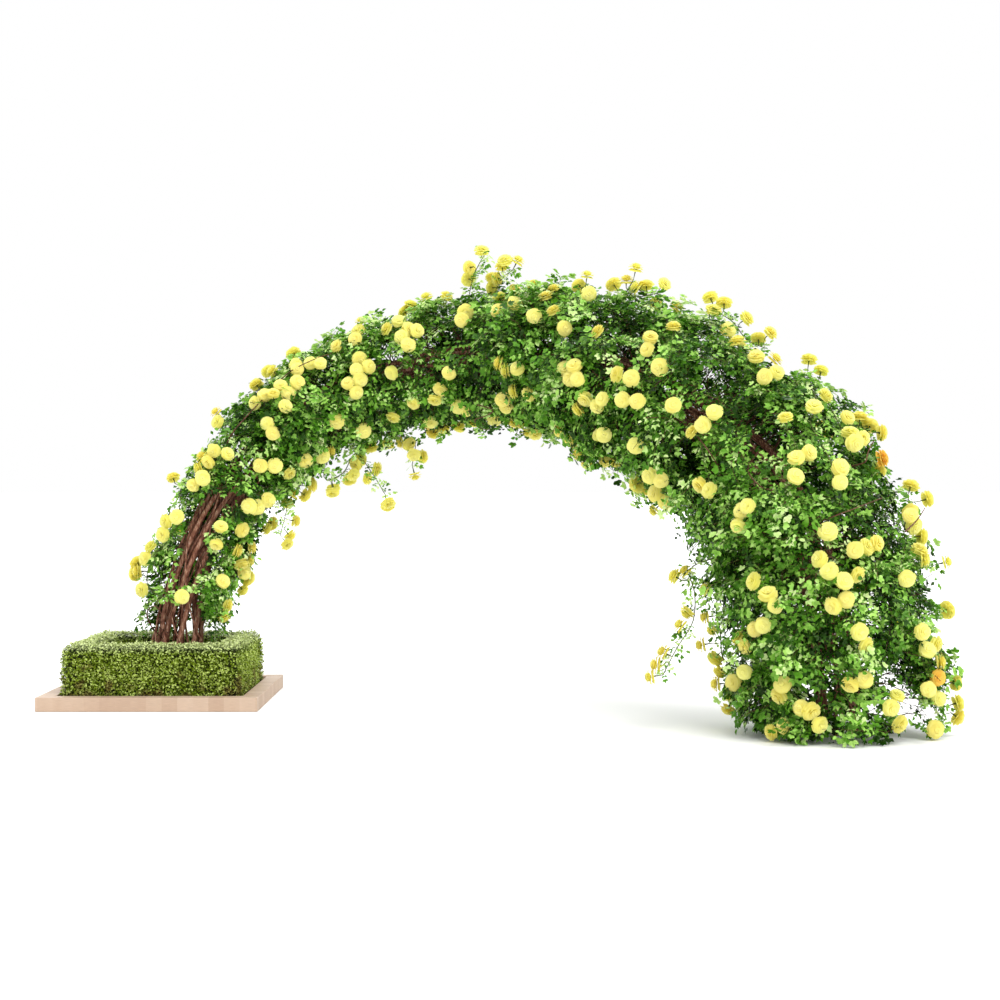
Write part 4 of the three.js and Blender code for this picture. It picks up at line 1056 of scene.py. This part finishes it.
rose_green = foliage_finish(
    "rose_leaf", 0.32, 0.45, (0.05, (0.002, 0.012, 0.001)), (0.28, (0.018, 0.076, 0.004)),
    (0.50, (0.110, 0.32, 0.018)), (0.72, (0.40, 0.70, 0.13)), (0.92, (0.80, 0.94, 0.45)))
twig_bark = bark_finish(
    "twig_bark", 0.7, (0.3, (0.030, 0.010, 0.005)), (0.5, (0.10, 0.040, 0.022)), (0.75, (0.24, 0.13, 0.08)))
rose_shapes = shapes_to_repeat("rose_leaf_shapes", [
    compound_leaf(*habit, outline) for outline in (FULL_LEAFLET, SMALL_LEAFLET) for habit in LEAF_HABITS])
leaves_along_twigs = leafing_tree()
all_boughs = []
for stage, (from_station, to_station) in enumerate(zip(BOUGH_STATIONS[:-1], BOUGH_STATIONS[1:])):
    boughs, twigs, wood_lines = [], [], []
    for from_turn, to_turn in FIRST_BOUGH_TURNS if stage == 0 else BOUGH_TURNS:
        bough_number = len(all_boughs) + len(boughs) + 1
        boughs.append(f"leafy_bough_{bough_number:02d}")
        draws = np.random.default_rng(TWIG_SEED + bough_number)
        reach = reach_at((from_station + to_station) / 2)
        area = arch_length(from_station, to_station) * reach * math.radians(to_turn - from_turn)
        crowding = (CROWDING_REACH / reach) ** 0.8
        for _ in range(int(area * BRANCHES_PER_SQUARE_METRE * crowding)):
            youth = draws.uniform(0.0, YOUNGEST_LEAF)
            branch = side_branch(from_station, to_station, from_turn, to_turn, draws)
            for (points, outwards, outerness), radii in branch:
                leafiness = np.clip((np.array(outerness) - LEAFY_BEYOND) * LEAFY_GROWTH, 0.0, 1.0)
                leafiness *= [0.0 if hides_canes(point) else GAP_LEAFINESS if is_seen_in(GAPS, point) else 1.0
                              for point in points]
                twigs.append({"points": points, "outwards": outwards, "outerness": outerness,
                              "leafiness": leafiness, "youth": [youth] * len(points)})
                wood_lines.append((points, np.linspace(*radii, len(points))))
    leaves = leaves_on(f"rose_leaves_{stage + 1}", twigs, LEAF_OFF_BLOOM, LEAF_SPACING, LEAF_LENGTH)
    wood = stems(f"rose_twigs_{stage + 1}", wood_lines, sides=3, step=0.09, finish=twig_bark)
    for piece, slot in ((leaves, "rose_leaf"), (wood, "bark")):
        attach(piece, "root")
        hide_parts(*boughs)
    all_boughs.extend(boughs)

stray_lines = []
for sights in STRAY_TWIGS:
    line = [place_seen(*sight) for sight in sights]
    stray_lines.append((line, np.linspace(*STRAY_RADII, len(line))))
stray = stems("stray_twigs", stray_lines, sides=5, step=0.018, finish=twig_bark)
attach(stray, "root")
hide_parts(*all_boughs)

# Flowering shoots
# Long shoots leave the canes, run along under the leaves and pass beneath their blooms. Each bloom
# has its own thin green stalk, which swells into a hip under the petals.

SHOOTS_A_GROUP = 3
SHOOT_RING_SIDES = (0.0065, 0.0092)
RING_TOLERANCE = 0.0001
SHOOT_RADII = (0.0052, 0.0030)
STALK_RADII = (0.0024, 0.0020, 0.0020, 0.0062)
STALK_REACH = 0.075
STALK_BEND = 0.01
HIP_DEPTH = 0.014
ROOT_STEP_BACK = 0.15
LOWEST_ROOT = 0.4
SHOOT_LEAF_SPACING = 0.0105
SHOOT_LEAF_OFF_BLOOM = 0.052
SHOOT_LEAF_LENGTH = 0.078
SHOOT_LEAF_VALUES = {
    "outwards": unit(np.array((0.0, -0.6, 0.8))), "outerness": 0.9, "leafiness": 0.95, "youth": 0.25}


def stem_of(node_name):
    """A shoot's stem from foot to tip: the middles of its three-cornered rings, which get smaller."""
    places, triangles = solid_of(node_name)
    _, first, merged = np.unique(np.round(places, 5), axis=0, return_index=True, return_inverse=True)
    corners = places[first]
    merged = merged.ravel()
    beside = {}
    for triangle in triangles:
        a, b, c = (int(merged[vertex]) for vertex in triangle)
        for low, high in ((a, b), (b, c), (c, a)):
            if SHOOT_RING_SIDES[0] < np.linalg.norm(corners[low] - corners[high]) < SHOOT_RING_SIDES[1]:
                beside.setdefault(low, set()).add(high)
                beside.setdefault(high, set()).add(low)
    rings = []
    for a in beside:
        for b in beside[a]:
            for c in beside[a] & beside[b]:
                if a < b < c:
                    ring = corners[[a, b, c]]
                    sides = [np.linalg.norm(ring[i] - ring[i - 1]) for i in range(3)]
                    if max(sides) - min(sides) < RING_TOLERANCE:
                        rings.append((sum(sides), ring.mean(axis=0)))
    return [middle for _, middle in sorted(rings, key=lambda ring: -ring[0])]


def nearest_on(points, place):
    """The place on a line of points that is nearest to a given one, and the direction there."""
    best = None
    for a, b in zip(points[:-1], points[1:]):
        share = min(max((place - a) @ (b - a) / ((b - a) @ (b - a)), 0.0), 1.0)
        at = a + (b - a) * share
        distance = np.linalg.norm(place - at)
        if best is None or distance < best[0]:
            best = (distance, at, unit(b - a))
    return best[1], best[2]


def root_on_cane(foot):
    """The nearest place on an old cane, a little way back along the arch."""
    station = arch_stations[np.linalg.norm(arch_points - foot, axis=1).argmin()]
    canes = [cane_point(max(station - ROOT_STEP_BACK, LOWEST_ROOT), index) for index in range(CANES)]
    return min(canes, key=lambda place: np.linalg.norm(place - foot))


shoot_bark = bark_finish(
    "shoot_skin", 0.55, (0.3, (0.04, 0.045, 0.012)), (0.5, (0.09, 0.13, 0.03)), (0.75, (0.20, 0.13, 0.07)))
groups = [shoots[first:first + SHOOTS_A_GROUP] for first in range(0, SHOOTS, SHOOTS_A_GROUP)]
for number, members in enumerate(groups, 1):
    lines, twigs = [], []
    for shoot in members:
        stem = stem_of(shoot["node"])
        main = [root_on_cane(stem[0]), *stem]
        lines.append((main, np.linspace(*SHOOT_RADII, len(main))))
        for place, axis in shoot["blooms"]:
            root, heading = nearest_on(stem, place)
            bend = place - axis * STALK_REACH
            middle = (root + bend) / 2 + heading * STALK_BEND
            lines.append(([root, middle, bend, place - axis * HIP_DEPTH], STALK_RADII))
        values = {key: [value] * len(stem) for key, value in SHOOT_LEAF_VALUES.items()}
        twigs.append({"points": stem, **values})
    shoot_stems = stems(f"flower_stems_{number}", lines, sides=4, step=0.035, finish=shoot_bark)
    leaves = leaves_on(
        f"shoot_leaves_{number}", twigs, SHOOT_LEAF_OFF_BLOOM, SHOOT_LEAF_SPACING, SHOOT_LEAF_LENGTH)
    for piece, slot in ((shoot_stems, "bark"), (leaves, "rose_leaf")):
        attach(piece, "root")
        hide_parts(*(shoot["node"] for shoot in members))
remove_shapes(rose_shapes)
bpy.data.objects.remove(openings)

# Blooms
# Double roses a hand's breadth across: rings of broad rounded petals laid like shingles, the outer
# ones flat and the inner ones closing over the heart. Pale lemon, and a few blooms, drawn at random,
# painted amber as painted shade.

BLOOM_RADIUS = 0.057
BLOOM_VARIANTS = 5
BLOOM_SEED = 60
TONE_SEED = 500
# Amber is painted shade, laid on a small share of the blooms.
AMBER_SHARE = 0.035
AMBER_TONES = (0.5, 0.8)
LEMON_TONES = (0.0, 0.12)
LIGHT_THROUGH_PETAL = 0.45
PETAL_REACHES = (0.88, 1.06)
PETAL_WIDTHS = (0.9, 1.1)
PETAL_TURN_STRAY = 0.18
PETAL_RISE_STRAY = 0.05
PETAL_RINGS = (
    # petals, root radius, tip radius, root height, tip height, width, how deep a yellow
    (7, 0.05, 0.90, -0.20, -0.42, 0.92, 0.40),
    (7, 0.05, 1.02, -0.14, -0.04, 0.94, 0.24),
    (8, 0.05, 0.92, -0.12, 0.22, 0.82, 0.12),
    (7, 0.05, 0.74, -0.06, 0.38, 0.76, 0.05),
    (6, 0.05, 0.50, 0.04, 0.48, 0.66, 0.03),
    (5, 0.32, 0.04, 0.28, 0.54, 0.60, 0.08),
)


def double_bloom(seed):
    """A bloom one unit in radius, facing up, with the depth of its yellow kept on each petal."""
    draws = np.random.default_rng(seed)
    points, faces, depths = [], [], []
    for petals, root_radius, tip_radius, base_height, tip_height, width, deepness in PETAL_RINGS:
        start = draws.uniform(0, 2 * math.pi)
        for petal in range(petals):
            turn = start + 2 * math.pi * (petal + draws.uniform(-PETAL_TURN_STRAY, PETAL_TURN_STRAY)) / petals
            out = np.array((math.cos(turn), math.sin(turn), 0.0))
            side = np.array((-math.sin(turn), math.cos(turn), 0.0))
            reach = tip_radius * draws.uniform(*PETAL_REACHES)
            height = tip_height + draws.uniform(-PETAL_RISE_STRAY, PETAL_RISE_STRAY)
            spread = width * draws.uniform(*PETAL_WIDTHS)
            first = len(points)
            middle_radius = root_radius + 0.6 * (reach - root_radius)
            middle_height = base_height + 0.62 * (height - base_height) + 0.08
            rows = (
                (root_radius, base_height, 0.22), (middle_radius, middle_height, 0.94), (reach, height, 0.82))
            for row, (radius, rise, share) in enumerate(rows):
                for column in (-1, 0, 1):
                    curl = 0.05 * abs(column) * (1 if row == 1 else -0.6)
                    place = out * (radius - 0.09 * radius * abs(column)) + side * column * share * spread / 2
                    points.append(tuple(place + np.array((0.0, 0.0, rise + curl))))
                    depths.append(deepness + (0.12 if row == 0 else 0.0))
            for row in range(2):
                for column in range(2):
                    corner = first + 3 * row + column
                    faces.append((corner, corner + 3, corner + 4, corner + 1))
    return points, faces, depths


def bloom_tree():
    """A bloom at each point, facing along its axis."""
    tree, sizes = geometry_tree("blooms_on_stalks", Shapes="Collection", Radius="Float", Finish="Material")
    axis = point_value(tree, "axis", "FLOAT_VECTOR")
    faced = result(tree, "FunctionNodeAlignRotationToVector", {"Vector": axis}, axis="Z")
    rotation = turned(tree, faced, drawn(tree, 0.0, 6.28, 3))
    size = maths(tree, "MULTIPLY", sizes["Radius"], drawn(tree, 0.86, 1.06, 5))
    repeat_shapes(tree, sizes, sizes["Geometry"], rotation, size, point_value(tree, "amber"))
    return tree


def petal_finish():
    """Lemon, or amber as painted shade on a few blooms, by each bloom's own value, and deeper in the outer
    rings.
    """
    material, tree, shader = new_finish("rose_petal", 0.6, Specular_IOR_Level=0.1)
    mixed = varied(tree, surface_value(tree, "depth"), 90.0, 0.3)
    lemon = ramp(tree, mixed, (0.0, (1.0, 0.98, 0.40)), (0.3, (1.0, 0.97, 0.31)), (0.8, (1.0, 0.90, 0.17)))
    amber = ramp(tree, mixed, (0.0, (0.98, 0.62, 0.04)), (0.8, (0.92, 0.42, 0.015)))
    colour = blended(tree, surface_value(tree, "shade"), lemon, amber)
    tree.links.new(colour, shader.inputs["Base Color"])
    let_light_through(tree, shader, colour, LIGHT_THROUGH_PETAL)
    return material


bloom_shapes = shapes_to_repeat(
    "bloom_shapes", [double_bloom(BLOOM_SEED + variant) for variant in range(BLOOM_VARIANTS)])
petal = petal_finish()
blooms_on_stalks = bloom_tree()
for number, members in enumerate(groups, 1):
    draws = np.random.default_rng(TONE_SEED + SHOOTS_A_GROUP * (number - 1))
    heads = [bloom for shoot in members for bloom in shoot["blooms"]]
    head_mesh = mesh_of(f"bloom_places_{number}", [tuple(place) for place, _ in heads])
    note_on(head_mesh, "axis", [axis for _, axis in heads], "FLOAT_VECTOR")
    # A few blooms, drawn at random, get the amber colour, which is painted shade.
    is_amber = draws.random(len(heads)) < AMBER_SHARE
    amber_tones = draws.uniform(*AMBER_TONES, len(heads))
    note_on(head_mesh, "amber", np.where(is_amber, amber_tones, draws.uniform(*LEMON_TONES, len(heads))))
    blooms = grown(
        f"rose_blooms_{number}", head_mesh, blooms_on_stalks, Shapes=bloom_shapes, Radius=BLOOM_RADIUS,
        Finish=petal)
    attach(blooms, "root")
    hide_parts(*(shoot["node"] for shoot in members))
remove_shapes(bloom_shapes)
